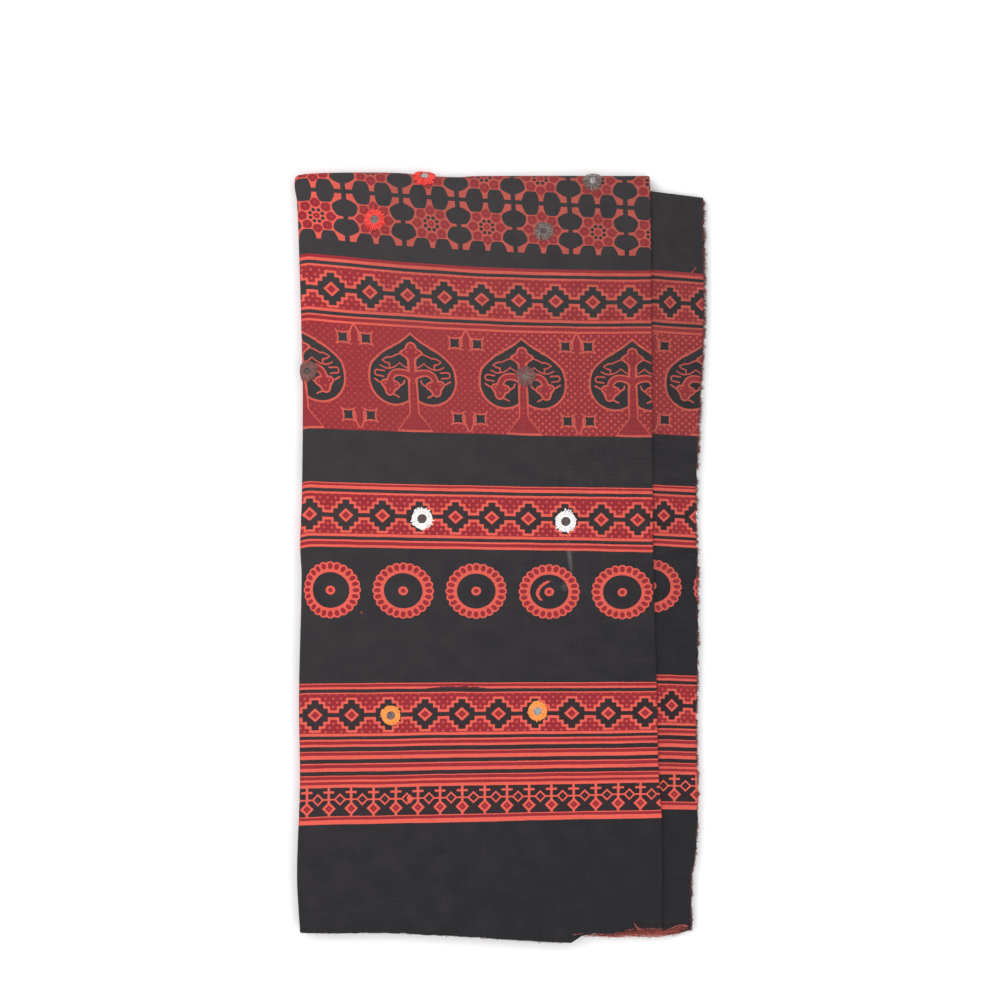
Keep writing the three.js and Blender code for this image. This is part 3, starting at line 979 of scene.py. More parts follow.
@dataclass
class FrayedEnd:
    """Threads worked loose from the cut end, tangled on the back half's edge."""

    from_x: float = 70.0
    to_x: float = 130.0
    thick_from: float = 81.0
    thick_to: float = 113.0
    short_threads: int = 380
    lying_threads: int = 70
    faint_threads: int = 90
    pale_threads: int = 22
    thread_radius: float = 0.14
    faint_radius: float = 0.11
    pale_radius: float = 0.10
    points: int = 10
    pale_seed: int = 32
    foot: Table = Table(((40, -266.2), (60, -265.8), (78, -266.3), (122, -266.3), (132, -263.4)))
    head: Table = Table((
        (40, -263.6), (58, -264.1), (68, -264.6), (74, -264.9), (79, -264.5), (83, -263.3),
        (89, -261.7), (95, -260.9), (112, -260.9), (118, -261.4), (124, -260.2), (131, -258.9),
    ))
    batch: TubeBatch = field(default_factory=lambda: TubeBatch(sides=4))
    random: np.random.Generator = field(default_factory=lambda: np.random.default_rng(31))

    def height(self, x: np.ndarray, y: np.ndarray, above: np.ndarray) -> np.ndarray:
        """Height of a thread, which drops off the front half's cut edge onto the back half.

        Args:
            x: Its places across.
            y: Its places along.
            above: How far it lies over what is under it.

        Returns:
            Its heights in the flat pack.
        """
        form = FORM
        on_front = form.half_height + form.level(Layer.FRONT) + 0.5
        on_back = form.half_height - form.half_gap + 0.3
        past = smooth_step((FRONT_RAW_EDGE.at(x) + 0.6 - y) / 1.6)
        beside = smooth_step((x - RIGHT_FOLD_EDGE.at(y) + 2.0) / 4.0)
        upper = on_front - beside * form.pitch * 2
        return upper + (on_back - upper) * past + above

    def add(
        self, x: np.ndarray, y: np.ndarray, radii: np.ndarray, shade: float,
        above: float | np.ndarray,
    ) -> None:
        """Adds a thread that lies on the cloth, so far above what is under it."""
        path = FORM.settle(x, y, self.height(x, y, np.broadcast_to(above, x.shape)))
        self.batch.add(path, radii, shade)

    def build(self) -> bpy.types.Object:
        """Builds the loose threads as one mesh.

        Returns:
            The threads.
        """
        self.add_short()
        self.add_lying()
        self.add_faint()
        self.add_singles()
        made = self.batch.make("frayed_threads")
        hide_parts("frayed_end")
        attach(made, BODY)
        return made

    def add_short(self) -> None:
        """Adds short threads that hang over the cut edge."""
        random, share = self.random, np.linspace(0, 1, self.points)
        for _ in range(self.short_threads):
            x = random.uniform(self.from_x, self.to_x)
            if random.uniform() < 0.55:
                x = random.uniform(self.thick_from, self.thick_to)
            top, low = float(self.head.at(x)), float(self.foot.at(x))
            begin = top + random.uniform(-0.5, 0.35) * (top - low)
            length = (begin - low) * random.uniform(0.4, 1.08)
            turn = random.uniform(0, 2 * np.pi)
            sway = random.normal(0, 2.2)
            at_x = x + sway * share + random.uniform(0.2, 0.8) * np.sin(turn + 5 * share) * share
            at_y = begin - length * share + 0.35 * np.cos(turn + 4 * share) * share
            above = random.uniform(0.1, 1.3) + 0.3 * np.sin(turn + 6 * share)
            radii = self.thread_radius * random.uniform(0.7, 1.3) * (1 - 0.4 * share)
            self.add(at_x, at_y, radii, float(random.uniform()), above)

    def add_lying(self) -> None:
        """Adds longer threads that lie along the cut edge."""
        random, share = self.random, np.linspace(0, 1, self.points)
        for _ in range(self.lying_threads):
            x = random.normal((self.thick_from + self.thick_to) / 2, 14.0)
            x = min(max(x, self.from_x), self.to_x - 3)
            run = random.uniform(4.0, 13.0) * random.choice((-1, 1))
            at_x = np.clip(x + run * share, self.from_x - 4, self.to_x + 1)
            level = random.beta(1.2, 2.2)
            top, low = self.head.at(at_x), self.foot.at(at_x)
            turn = random.uniform(0, 2 * np.pi)
            at_y = low + (top - low) * level + 0.5 * np.sin(turn + 4 * share)
            above = random.uniform(0.2, 1.5) + 0.25 * np.sin(turn + 7 * share)
            radii = np.full(self.points, self.thread_radius * random.uniform(0.7, 1.3))
            self.add(at_x, at_y, radii, float(random.uniform(0.2, 1.0)), above)

    def add_faint(self) -> None:
        """Adds sparse thin threads where the fraying starts."""
        random, share = self.random, np.linspace(0, 1, self.points)
        radii = np.full(self.points, self.faint_radius)
        for _ in range(self.faint_threads):
            x = random.uniform(53.0, 82.0)
            run = random.uniform(2.0, 7.0)
            turn = random.uniform(0, 2 * np.pi)
            at_x = x + run * (share - 0.5)
            level = random.uniform(0.0, 1.0) * float(smooth_step((x - 50.0) / 10.0))
            at_y = self.head.at(at_x) * (1 - level) + self.foot.at(at_x) * level
            at_y = at_y + random.uniform(-0.4, 0.6) + 0.4 * np.sin(turn + 4 * share)
            self.add(at_x, at_y, radii, float(random.uniform()), 0.35)

    def add_singles(self) -> None:
        """Adds the two threads that stand out: a tail over the front, and an arc by the corner."""
        share = np.linspace(0, 1, 16)
        for strand in range(3):
            turn = 1.3 * strand
            tail_x = 98.4 - 4.6 * share + 0.7 * np.sin(6 * share + turn)
            tail_y = -261.8 + (6.4 - 0.8 * strand) * share + 0.3 * np.sin(9 * share + turn)
            self.add(tail_x, tail_y, 0.30 - 0.12 * share, 0.5 + 0.15 * strand, 0.5)
        arc_x = 114.5 + 16.5 * share
        arc_y = -263.2 + 5.2 * np.sin(share * 1.9)
        self.add(arc_x, arc_y, np.full(16, 0.3), 0.7, 0.7)
        self.add(arc_x + 1.0, arc_y - 2.0 + 1.2 * share, np.full(16, 0.26), 0.5, 0.7)

    def build_pale(self) -> bpy.types.Object:
        """Builds the few whitish threads among them.

        Returns:
            The threads.
        """
        random = np.random.default_rng(self.pale_seed)
        self.batch = TubeBatch(sides=4)
        share = np.linspace(0, 1, self.points)
        radii = np.full(self.points, self.pale_radius)
        for number in range(self.pale_threads):
            x = random.uniform(44.0, 84.0) if number % 5 else random.uniform(109.0, 112.5)
            run = random.uniform(1.5, 5.0)
            y = float(self.head.at(x)) + random.uniform(-1.0, 0.6)
            turn = random.uniform(0, 2 * np.pi)
            at_x = x + run * (share - 0.5)
            at_y = y + 0.5 * np.sin(turn + 3 * share)
            self.add(at_x, at_y, radii, float(random.uniform()), 0.8)
        made = self.batch.make("pale_threads")
        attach(made, BODY)
        return made


@dataclass
class EdgeFibres:
    """Short fibres that have worn loose along the selvedge and the cut end."""

    tufts: int = 420
    cut: int = 420
    radius: float = 0.19
    longest: float = 3.6
    low: float = -262.0
    high: float = 250.0
    cut_from: float = -139.0
    cut_to: float = 109.0
    points: int = 5
    batch: TubeBatch = field(default_factory=lambda: TubeBatch(sides=3))
    random: np.random.Generator = field(default_factory=lambda: np.random.default_rng(33))

    def add_fibre(
        self, x: float, y: float, z: float, out: tuple[float, float], size: float
    ) -> None:
        """Adds one curling fibre.

        Args:
            x: Place across of its root.
            y: Place along of its root.
            z: Height of its root in the flat pack.
            out: The direction that it leaves the cloth in, across and along.
            size: Its length as a share of the longest.
        """
        random, share = self.random, np.linspace(0, 1, self.points)
        length = self.longest * size * random.uniform(0.4, 1.0) + 0.3
        heading = random.normal(0, 0.7)
        ahead = length * math.cos(heading) * share
        aside = length * math.sin(heading) * share + random.normal(0, 0.4) * share**2
        at_x = x + out[0] * ahead - out[1] * aside
        at_y = y + out[1] * ahead + out[0] * aside
        path = FORM.settle(at_x, at_y, z - 0.5 * share * length)
        self.batch.add(path, self.radius * (1.15 - 0.7 * share), float(random.uniform(0, 0.6)))

    def build(self) -> bpy.types.Object:
        """Builds the fibres as one mesh.

        Returns:
            The fibres.
        """
        form, random = FORM, self.random
        strip = form.half_height + form.level(Layer.STRIP)
        front = form.half_height + form.level(Layer.FRONT)
        for _ in range(self.tufts):
            middle = self.high - (self.high - self.low) * random.uniform()
            size = random.uniform(0.35, 1.0) * (0.8 + 0.0009 * middle)
            for _ in range(int(5 + 9 * size)):
                y = min(max(middle + random.normal(0, 0.9), self.low), self.high)
                x = float(SELVEDGE.at(y)) - form.strip_inset - random.uniform(0.3, 1.5)
                z = strip + random.uniform(0.2, 0.7)
                self.add_fibre(x, y, z, (1.0, 0.0), size)
        for _ in range(self.cut):
            x = random.uniform(self.cut_from, self.cut_to)
            y = float(FRONT_RAW_EDGE.at(x)) + 0.35
            z = front + random.uniform(0.1, 0.5)
            self.add_fibre(x, y, z, (0.0, -1.0), random.uniform(0.1, 0.5))
        made = self.batch.make("edge_fibres")
        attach(made, BODY)
        return made


class Ink(Enum):
    """The three tones of the print, as numbers that the print's formulas pass on."""

    BLACK = 0.0
    CRIMSON = 0.5
    CORAL = 1.0


class Number:
    """A number that differs from place to place on a surface, worked out by shader nodes."""

    def __init__(self, board: "Board", socket: bpy.types.NodeSocket) -> None:
        """Keeps the board of nodes and the output that holds the number."""
        self.board = board
        self.socket = socket

    def math(self, operation: str, *others: "Value") -> "Number":
        """Adds one math node that takes this number first."""
        return self.board.math(operation, self, *others)

    def __add__(self, other: "Value") -> "Number":
        """Adds."""
        return self.math("ADD", other)

    __radd__ = __add__

    def __sub__(self, other: "Value") -> "Number":
        """Subtracts."""
        return self.math("SUBTRACT", other)

    def __rsub__(self, other: float) -> "Number":
        """Subtracts from a plain number."""
        return self.board.math("SUBTRACT", other, self)

    def __mul__(self, other: "Value") -> "Number":
        """Multiplies."""
        return self.math("MULTIPLY", other)

    def __truediv__(self, other: "Value") -> "Number":
        """Divides."""
        return self.math("DIVIDE", other)

    def __abs__(self) -> "Number":
        """The number without its sign."""
        return self.math("ABSOLUTE")

    def __pow__(self, other: float) -> "Number":
        """Raises to a power."""
        return self.math("POWER", other)

    def __lt__(self, other: "Value") -> "Number":
        """One where this is less, and nothing elsewhere."""
        return self.math("LESS_THAN", other)

    def __gt__(self, other: "Value") -> "Number":
        """One where this is greater, and nothing elsewhere."""
        return self.math("GREATER_THAN", other)

    def __and__(self, other: "Number") -> "Number":
        """One where both are."""
        return self.math("MULTIPLY", other)

    def __or__(self, other: "Number") -> "Number":
        """One where either is."""
        return self.math("MAXIMUM", other)

    def most(self, other: "Value") -> "Number":
        """The larger of two."""
        return self.math("MAXIMUM", other)

    def least(self, other: "Value") -> "Number":
        """The smaller of two."""
        return self.math("MINIMUM", other)

    def folded(self, half: "Value") -> "Number":
        """The distance to the nearest whole number of repeats, each twice the given half."""
        return self.math("PINGPONG", half)

    def within(self, low: float, high: float) -> "Number":
        """One between two limits."""
        return (self > low) & (self < high)

    def pick(self, inside: "Value", outside: "Value") -> "Number":
        """Takes one number where this mask is one, and another elsewhere.

        Args:
            inside: The number where it is one.
            outside: The number where it is nothing.

        Returns:
            The picked number.
        """
        if not isinstance(inside, Number) and not isinstance(outside, Number):
            return self.math("MULTIPLY_ADD", inside - outside, outside)
        made = self.board.node("ShaderNodeMix", data_type="FLOAT")
        for place, value in ((0, self), (2, outside), (3, inside)):
            self.board.feed(made.inputs[place], value)
        return Number(self.board, made.outputs[0])

    def printed(self, where: "Number", ink: "Ink | Value") -> "Number":
        """This tone, with an ink over it where a mask is one."""
        return where.pick(ink.value if isinstance(ink, Ink) else ink, self)

    def curve(self, rows: Rows, stepped: bool = False) -> "Number":
        """Reads a table of up to 32 rows, each a place and a value from 0 up.

        Args:
            rows: The table's rows, by place.
            stepped: Whether a value holds until the next row's place.

        Returns:
            The value at this place.
        """
        board = self.board
        first, last = rows[0][0], rows[-1][0]
        top = max(abs(value) for _, value in rows) or 1.0
        made = board.node("ShaderNodeValToRGB")
        ramp = made.color_ramp
        ramp.interpolation = "CONSTANT" if stepped else "LINEAR"
        for place, _ in rows[1:-1]:
            ramp.elements.new((place - first) / (last - first))
        for element, (_, value) in zip(ramp.elements, rows):
            element.color = (0, 0, 0, value / top)
        board.feed(made.inputs[0], (self - first) / (last - first))
        return Number(board, made.outputs[1]) * top


Value = Number | float


class Board:
    """A material's node tree, with short ways to add what its formulas need."""

    def __init__(self, name: str) -> None:
        """Makes a material with a lone shader.

        Args:
            name: The material's name.
        """
        self.material = bpy.data.materials.new(name)
        self.material.use_nodes = True
        self.tree = self.material.node_tree
        self.shader = self.tree.nodes["Principled BSDF"]

    def node(self, kind: str, **settings: object) -> bpy.types.Node:
        """Adds a node.

        Args:
            kind: Blender's name for the kind of node.
            settings: Its settings.

        Returns:
            The node.
        """
        made = self.tree.nodes.new(kind)
        for key, value in settings.items():
            setattr(made, key, value)
        return made

    def feed(self, socket: bpy.types.NodeSocket, value: object) -> None:
        """Links a number or an output to a socket, or sets the socket's own value.

        Args:
            socket: The socket.
            value: What it is given.
        """
        if isinstance(value, Number):
            value = value.socket
        if isinstance(value, bpy.types.NodeSocket):
            self.tree.links.new(value, socket)
        else:
            socket.default_value = value

    def math(self, operation: str, *values: Value) -> Number:
        """Adds a math node.

        Args:
            operation: Blender's name for what it works out.
            values: What it works on.

        Returns:
            The result.
        """
        made = self.node("ShaderNodeMath", operation=operation)
        for socket, value in zip(made.inputs, values):
            self.feed(socket, value)
        return Number(self, made.outputs[0])

    def noise(self, vector: object, scale: float, detail: float = 2.0) -> Number:
        """Adds soft noise about one half."""
        return Number(self, self.noise_node(vector, scale, detail).outputs[0])

    def noise_node(self, vector: object, scale: float, detail: float) -> bpy.types.Node:
        """Adds a node of soft noise.

        Args:
            vector: Where to read it.
            scale: How often it changes in a unit.
            detail: How many finer noises it adds.

        Returns:
            The node.
        """
        made = self.node("ShaderNodeTexNoise", noise_dimensions="3D")
        self.feed(made.inputs["Vector"], vector)
        made.inputs["Scale"].default_value = scale
        made.inputs["Detail"].default_value = detail
        return made

    def noise_pair(self, vector: object, scale: float, detail: float) -> tuple[Number, Number]:
        """Adds two soft noises about one half, each its own.

        Args:
            vector: Where to read them.
            scale: How often they change in a unit.
            detail: How many finer noises they add.

        Returns:
            The two noises.
        """
        made = self.noise_node(vector, scale, detail)
        parts = self.node("ShaderNodeSeparateColor")
        self.feed(parts.inputs[0], made.outputs[1])
        return Number(self, parts.outputs[0]), Number(self, parts.outputs[1])

    def split(self, vector: object) -> tuple[Number, Number, Number]:
        """Takes a vector apart.

        Args:
            vector: The output that holds it.

        Returns:
            Its three numbers.
        """
        made = self.node("ShaderNodeSeparateXYZ")
        self.feed(made.inputs[0], vector)
        return tuple(Number(self, output) for output in made.outputs)

    def join(self, x: Value, y: Value, z: Value = 0.0) -> object:
        """Joins three numbers into a vector.

        Args:
            x: The first number.
            y: The second.
            z: The third.

        Returns:
            The output that holds the vector.
        """
        made = self.node("ShaderNodeCombineXYZ")
        for socket, value in zip(made.inputs, (x, y, z)):
            self.feed(socket, value)
        return made.outputs[0]

    def blend(self, share: Value, low: object, high: object, kind: str = "MIX") -> object:
        """Mixes two colours.

        Args:
            share: How much of the second.
            low: The first colour, or an output that holds it.
            high: The second.
            kind: Blender's name for the way of mixing.

        Returns:
            The output that holds the mixed colour.
        """
        made = self.node("ShaderNodeMix", data_type="RGBA", blend_type=kind)
        self.feed(made.inputs[0], share)
        self.feed(made.inputs[6], low)
        self.feed(made.inputs[7], high)
        return made.outputs[2]


def distance(x: Number, y: Number) -> Number:
    """The length of a line across and along."""
    return (x * x + y * y).math("SQRT")


def stroke(
    x: Number, y: Number, start: tuple[float, float], end: tuple[float, float]
) -> Number:
    """The distance to a straight stroke between two points.

    Args:
        x: Place across.
        y: Place along.
        start: One end of the stroke.
        end: Its other end.

    Returns:
        The distance to its nearest point.
    """
    (x0, y0), (x1, y1) = start, end
    length = math.hypot(x1 - x0, y1 - y0)
    run_x, run_y = (x1 - x0) / length, (y1 - y0) / length
    at_x, at_y = x - x0, y - y0
    along = at_x * run_x + at_y * run_y
    beside = at_x * run_y - at_y * run_x
    past = (along - length).most(along * -1.0).most(0.0)
    return distance(past, beside)


@dataclass(frozen=True)
class StarField:
    """The middle field: eight-petalled flowers in a lattice of bones and black blobs."""

    repeat_across: float = 37.47
    repeat_along: float = 36.4
    first: float = -2.9
    end: float = 54.0
    corner: float = 2.6
    gap_across: float = 17.15
    gap_along: float = 16.75
    petal_out: float = 9.35
    petal_radius: float = 3.2
    petal_point: float = 3.95
    dot_out: float = 3.95
    dot_aside: float = 1.62
    dot_radius: float = 1.22
    button_radius: float = 2.1

    def tone(self, across: Number, down: Number) -> Number:
        """The print's ink in this field.

        Args:
            across: Place across the print.
            down: Place along it from the middle line.

        Returns:
            The ink.
        """
        a = (across - self.first).folded(self.repeat_across / 2)
        b = down.folded(self.repeat_along / 2)
        reach = distance(a, b)
        sector = b.math("ARCTAN2", a).folded(math.pi / 8)
        along = reach * sector.math("COSINE")
        aside = reach * sector.math("SINE")
        black = self.blobs(a, b)
        black = black | (a > self.gap_across) | (b > self.gap_along)
        tone = black.pick(Ink.BLACK.value, Ink.CORAL.value)
        out = along - self.petal_out
        petal = distance(out, aside)
        shape = (petal < self.petal_radius) & ((aside + out) < self.petal_point)
        tone = tone.printed(shape, Ink.CRIMSON)
        tone = tone.printed(petal < 0.5, 0.72)
        dot = distance(along - self.dot_out, aside - self.dot_aside)
        tone = tone.printed(dot < self.dot_radius, Ink.BLACK)
        tone = tone.printed(reach < self.button_radius, Ink.CRIMSON)
        return tone.printed(reach < 0.6, 0.75)

    def blobs(self, a: Number, b: Number) -> Number:
        """Finds the black blobs on the borders between cells, rounded at their corners.

        Args:
            a: Distance across from the nearest flower's middle.
            b: Distance along from it.

        Returns:
            A mask of the blobs.
        """
        near_top = self.rounded(
            10.3 - b, 1.6 - a, a - 13.1,
            (7.3 - a - b * 0.398) * 0.93, (a - b * 0.497 - 5.05) * 0.9,
        )
        near_side = self.rounded(
            10.6 - a, 1.2 - b, b - 12.9,
            (14.4 - a - b * 0.677) * 0.83, (b * 1.553 - a - 3.4) * 0.54,
        )
        return near_top | near_side

    def rounded(self, *sides: Number) -> Number:
        """Finds what lies inside several sides, with round corners.

        Args:
            sides: The distance past each side, which is less than nothing inside.

        Returns:
            A mask of it.
        """
        worst = sides[0]
        for side in sides[1:]:
            worst = worst.math("SMOOTH_MAX", side, self.corner)
        return worst < 0.25


@dataclass(frozen=True)
class DiamondBorder:
    """A border of stepped black diamonds on a dotted ground, between printed lines."""

    starts: tuple[float, float, float] = (64.5, 216.9, 354.0)
    repeats: tuple[float, float, float] = (25.26, 25.47, 25.59)
    firsts: tuple[float, float, float] = (-8.68, -5.65, -1.1)
    stretches: tuple[float, float, float] = (1.0, 1.012, 1.033)
    after: tuple[float, float] = (150.0, 300.0)
    height: float = 44.94
    middle: float = 22.5
    ground: tuple[float, float] = (7.85, 35.5)
    dots_from: float = 5.95
    dots_across: float = 2.73
    dots_along: float = 2.94
    dot_radius: float = 0.84
    rhombus_across: float = 5.25
    rhombus_along: float = 4.9
    thin_line: float = 0.7
    lines: Rows = (
        (0.0, 0.5), (2.1, 1.0), (4.05, 0.0), (6.45, 1.0), (7.8, 0.5), (35.5, 1.0), (37.4, 0.0),
        (39.7, 1.0), (40.9, 0.5), (43.15, 1.0), (45.0, 1.0),
    )
    last_lines: Rows = (
        (0.0, 0.5), (2.5, 1.0), (4.15, 0.0), (6.6, 1.0), (7.5, 0.5), (35.5, 1.0), (37.4, 0.0),
        (39.7, 1.0), (40.9, 0.5), (43.15, 1.0), (45.0, 1.0),
    )
    steps: Rows = ((0.0, 10.7), (2.45, 7.85), (5.6, 4.7), (8.8, 1.5), (13.5, 1.5))
    outline: Rows = ((0.0, 12.25), (4.0, 9.4), (7.15, 6.25), (10.35, 3.35), (13.5, 3.35))

    def tone(self, across: Number, down: Number) -> tuple[Number, Number]:
        """The print's ink in these borders, and a mask of where they are.

        Args:
            across: Place across the print.
            down: Place along it from the middle line.

        Returns:
            The ink and the mask.
        """
        second, third = down > self.after[0], down > self.after[1]

        def pick(values: tuple[float, float, float]) -> Number:
            """The value of the border that a place is in or near."""
            first = second.math("MULTIPLY_ADD", values[1] - values[0], values[0])
            return third.math("MULTIPLY_ADD", values[2] - values[1], first)

        low = (down - pick(self.starts)) * pick(self.stretches)
        half = pick(self.repeats) * 0.5
        a = (across - pick(self.firsts)).folded(half)
        y = abs(low - self.middle)
        last = low.curve(self.last_lines, stepped=True)
        tone = third.pick(last, low.curve(self.lines, stepped=True))
        ground = low.within(*self.ground)
        lattice = dot_lattice(half - a, y - self.dots_from, self.dots_across, self.dots_along)
        dots = lattice < self.dot_radius
        tone = tone.printed(dots & ground, 0.80)
        tone = tone.printed((y < a.curve(self.outline, True)) & ground, Ink.CORAL)
        tone = tone.printed((y < a.curve(self.steps, True)) & ground, Ink.BLACK)
        rhombus = a / self.rhombus_across + y / self.rhombus_along
        tone = tone.printed(rhombus < 1.0, Ink.CORAL)
        tone = tone.printed(rhombus < 0.56, Ink.CRIMSON)
        tone = tone.printed(rhombus < 0.12, 0.6)
        thin = second & (low < self.thin_line)
        return tone.printed(thin, Ink.CORAL), low.within(0.0, self.height)


def dot_lattice(x: Number, y: Number, half_x: float, half_y: float) -> Number:
    """The distance to the nearest dot of a lattice whose rows are staggered.

    Args:
        x: Place across.
        y: Place along.
        half_x: Half the dots' spacing in a row.
        half_y: The rows' spacing.

    Returns:
        The distance.
    """
    column, row = x / half_x, y / half_y
    first = ((column + row) * 0.5 + 0.5).math("FRACT") - 0.5
    second = ((column - row) * 0.5 + 0.5).math("FRACT") - 0.5
    return distance((first + second) * half_x, (first - second) * half_y)


@dataclass(frozen=True)
class PeepalBand:
    """A row of peepal leaves, each round a little tree, with pairs of stars between them."""

    repeat: float = 76.2
    first: float = 17.15
    top: float = 113.4
    start: float = 109.3
    end: float = 180.9
    middle: float = 31.05
    thin_line: float = 0.88
    outline: float = 0.7
    half_stroke: float = 0.54
    dots_across: float = 2.57
    dots_along: float = 2.36
    dot_radius: float = 0.92
    dot_gain: float = 0.34
    tree_outer: Rows = (
        (0.0, 0.0), (5.7, 0.0), (6.1, 1.7), (6.9, 2.9), (7.9, 3.5), (9.0, 3.8), (10.0, 4.2),
        (10.8, 5.3), (11.6, 6.9), (12.5, 7.9), (13.4, 8.3), (14.3, 7.9), (15.2, 6.6),
        (16.2, 5.0), (17.4, 3.8), (18.9, 3.1), (40.6, 3.55), (54.3, 3.5), (55.0, 3.65),
        (66.0, 12.1), (67.3, 13.0), (67.6, 0.0), (72.0, 0.0),
    )
    tree_inner: Rows = (
        (0.0, 0.0), (6.9, 0.0), (7.3, 1.2), (8.0, 2.0), (9.0, 2.4), (10.0, 2.7), (10.9, 3.4),
        (11.7, 4.9), (12.6, 6.1), (13.4, 6.6), (14.1, 6.2), (15.0, 4.9), (16.0, 3.2),
        (17.2, 2.0), (18.9, 1.5), (40.6, 2.15), (54.3, 2.5), (55.0, 2.75), (65.4, 10.9),
        (65.9, 11.3), (66.1, 0.0), (72.0, 0.0),
    )
    leaf_upper: Rows = (
        (0.0, 14.0), (7.7, 14.0), (10.0, 14.8), (13.1, 16.3), (14.0, 16.8), (16.0, 16.7),
        (18.2, 17.6), (20.2, 19.0), (30.0, 19.0),
    )
    leaf_tip: Rows = ((0.0, 21.3), (15.2, 21.2), (18.2, 20.4), (20.2, 19.0), (30.0, 19.0))
    leaf_lower: Rows = (
        (0.0, 24.0), (2.9, 23.9), (5.5, 22.5), (8.4, 20.4), (9.8, 21.7), (11.5, 22.9),
        (13.3, 23.8), (15.5, 24.3), (17.5, 24.4), (19.3, 23.9), (22.0, 22.5), (30.0, 22.5),
    )

    def tone(self, across: Number, down: Number, dot_share: Number) -> Number:
        """The print's ink in this band.

        Args:
            across: Place across the print.
            down: Place along the print, from its middle line.
            dot_share: How clearly the ground's dots have printed.

        Returns:
            The ink.
        """
        p = (across - self.first).folded(self.repeat / 2)
        q = down - self.top
        dots = dot_lattice(p, q, self.dots_across, self.dots_along) < self.dot_radius
        tone = (dots & dot_share).math("MULTIPLY_ADD", self.dot_gain, Ink.CRIMSON.value)
        tone = self.star_pairs(p, q, tone)
        leaf = self.leaf(p, q)
        tone = tone.printed(leaf < self.outline, Ink.CORAL)
        tone = tone.printed(leaf < -self.outline, Ink.BLACK)
        inside = leaf < -self.outline
        tone = self.side_leaves(p, q, inside, tone)
        tone = self.tree(p, q, tone)
        return self.branch(p, q, tone)

    def leaf(self, p: Number, q: Number) -> Number:
        """Measures from the leaf's outline.

        Args:
            p: Place across from a leaf's middle.
            q: Place down from its notch.

        Returns:
            The distance outside it, which is less than nothing inside.
        """
        shoulder = p * 0.709 + (p * (2 * math.pi / 23.8)).math("SINE") * 0.63
        over = (shoulder - q) * 0.816
        low = q > 31.85
        fall = q - 31.85
        round_part = distance(p - 12.6, fall * low.pick(1.0, 0.72)) - 17.2
        kept = low | (p > 12.6)
        return over.math("SMOOTH_MAX", kept.pick(round_part, -5.0), 4.0)

    def side_leaves(self, p: Number, q: Number, inside: Number, tone: Number) -> Number:
        """The wavy leaf and the comb of fingers on each side of the tree.

        Args:
            p: Place across from a leaf's middle.
            q: Place down from its notch.
            inside: A mask of the leaf's inside.
            tone: The ink under them.

        Returns:
            The ink with them.
        """
        half = self.half_stroke
        upper = (abs(q - p.curve(self.leaf_upper)) < half) & p.within(7.7, 20.5)
        tip = (abs(q - p.curve(self.leaf_tip)) < half) & p.within(14.9, 20.5)
        lower = (abs(q - p.curve(self.leaf_lower)) < half) & p.within(2.9, 22.2)
        stem = (abs(p - 15.4) < half) & q.within(21.0, 24.2)
        comb_top = (abs(q + p * 0.084 - 27.9) < half) & p.within(18.9, 24.3)
        comb_low = (abs(q + p * 0.14 - 33.0) < half) & p.within(19.6, 24.1)
        bend = (abs(distance(p - 23.9, q - 27.75) - 1.95) < half) & (p > 23.9)
        lines = upper | tip | lower | stem | comb_top | comb_low | bend
        return tone.printed(lines & inside, self.thin_line)

    def branch(self, p: Number, q: Number, tone: Number) -> Number:
        """The arching branch on each side, with its hanging bud and curls.

        Args:
            p: Place across from a leaf's middle.
            q: Place down from its notch.
            tone: The ink under it.

        Returns:
            The ink with it.
        """
        inward = p - 9.3
        widen = (p < 9.3).pick(0.56, 1.0)
        arch = abs(distance(inward * widen, q - 32.9) - 6.1)
        reached = (q < 33.4) & (p > 1.4)
        s = (p - 14.9) * 0.157 + (q - 32.2) * 0.988
        c = abs((p - 14.9) * 0.988 - (q - 32.2) * 0.157)
        bud = distance(s - 3.9, c) - 4.5
        bud = bud.math("SMOOTH_MIN", distance(s - 3.0, c - 4.1) - 2.5, 3.4)
        bud = bud.math("SMOOTH_MIN", distance(s - 7.9, c) - 3.1, 3.4)
        outer = ((arch < 2.55) & reached) | (bud < 0.1)
        inner = ((arch < 1.45) & reached) | (bud < -1.05)
        curls = stroke(p, q, (22.6, 34.3), (26.0, 32.2))
        curls = curls.least(stroke(p, q, (8.6, 36.0), (6.2, 34.2)))
        curls = curls.least(stroke(p, q, (6.2, 34.2), (5.6, 32.2)))
        curls = curls.least(stroke(p, q, (14.8, 41.4), (10.0, 43.8)))
        tone = tone.printed((curls < 0.55) | outer, Ink.CORAL)
        tone = tone.printed(inner, Ink.CRIMSON)
        middle = distance(s - 6.2, c)
        side = distance(s - 3.0, c - 3.5)
        return tone.printed(middle.least(side) < 0.8, 0.75)

    def tree(self, p: Number, q: Number, tone: Number) -> Number:
        """The trunk with its crown and its spread foot.

        Args:
            p: Place across from a leaf's middle.
            q: Place down from its notch.
            tone: The ink under it.

        Returns:
            The ink with it.
        """
        tone = tone.printed(p < q.curve(self.tree_outer), Ink.CORAL)
        tone = tone.printed(p < q.curve(self.tree_inner), Ink.CRIMSON)
        dots = distance(p, q - 9.6).least(distance(p - 3.2, q - 12.9))
        tone = tone.printed(dots < 0.85, 0.75)
        bars = distance(p * 0.6, q.folded(1.8) - 1.8) < 0.55
        return tone.printed(bars & q.within(20.0, 53.0), 0.62)

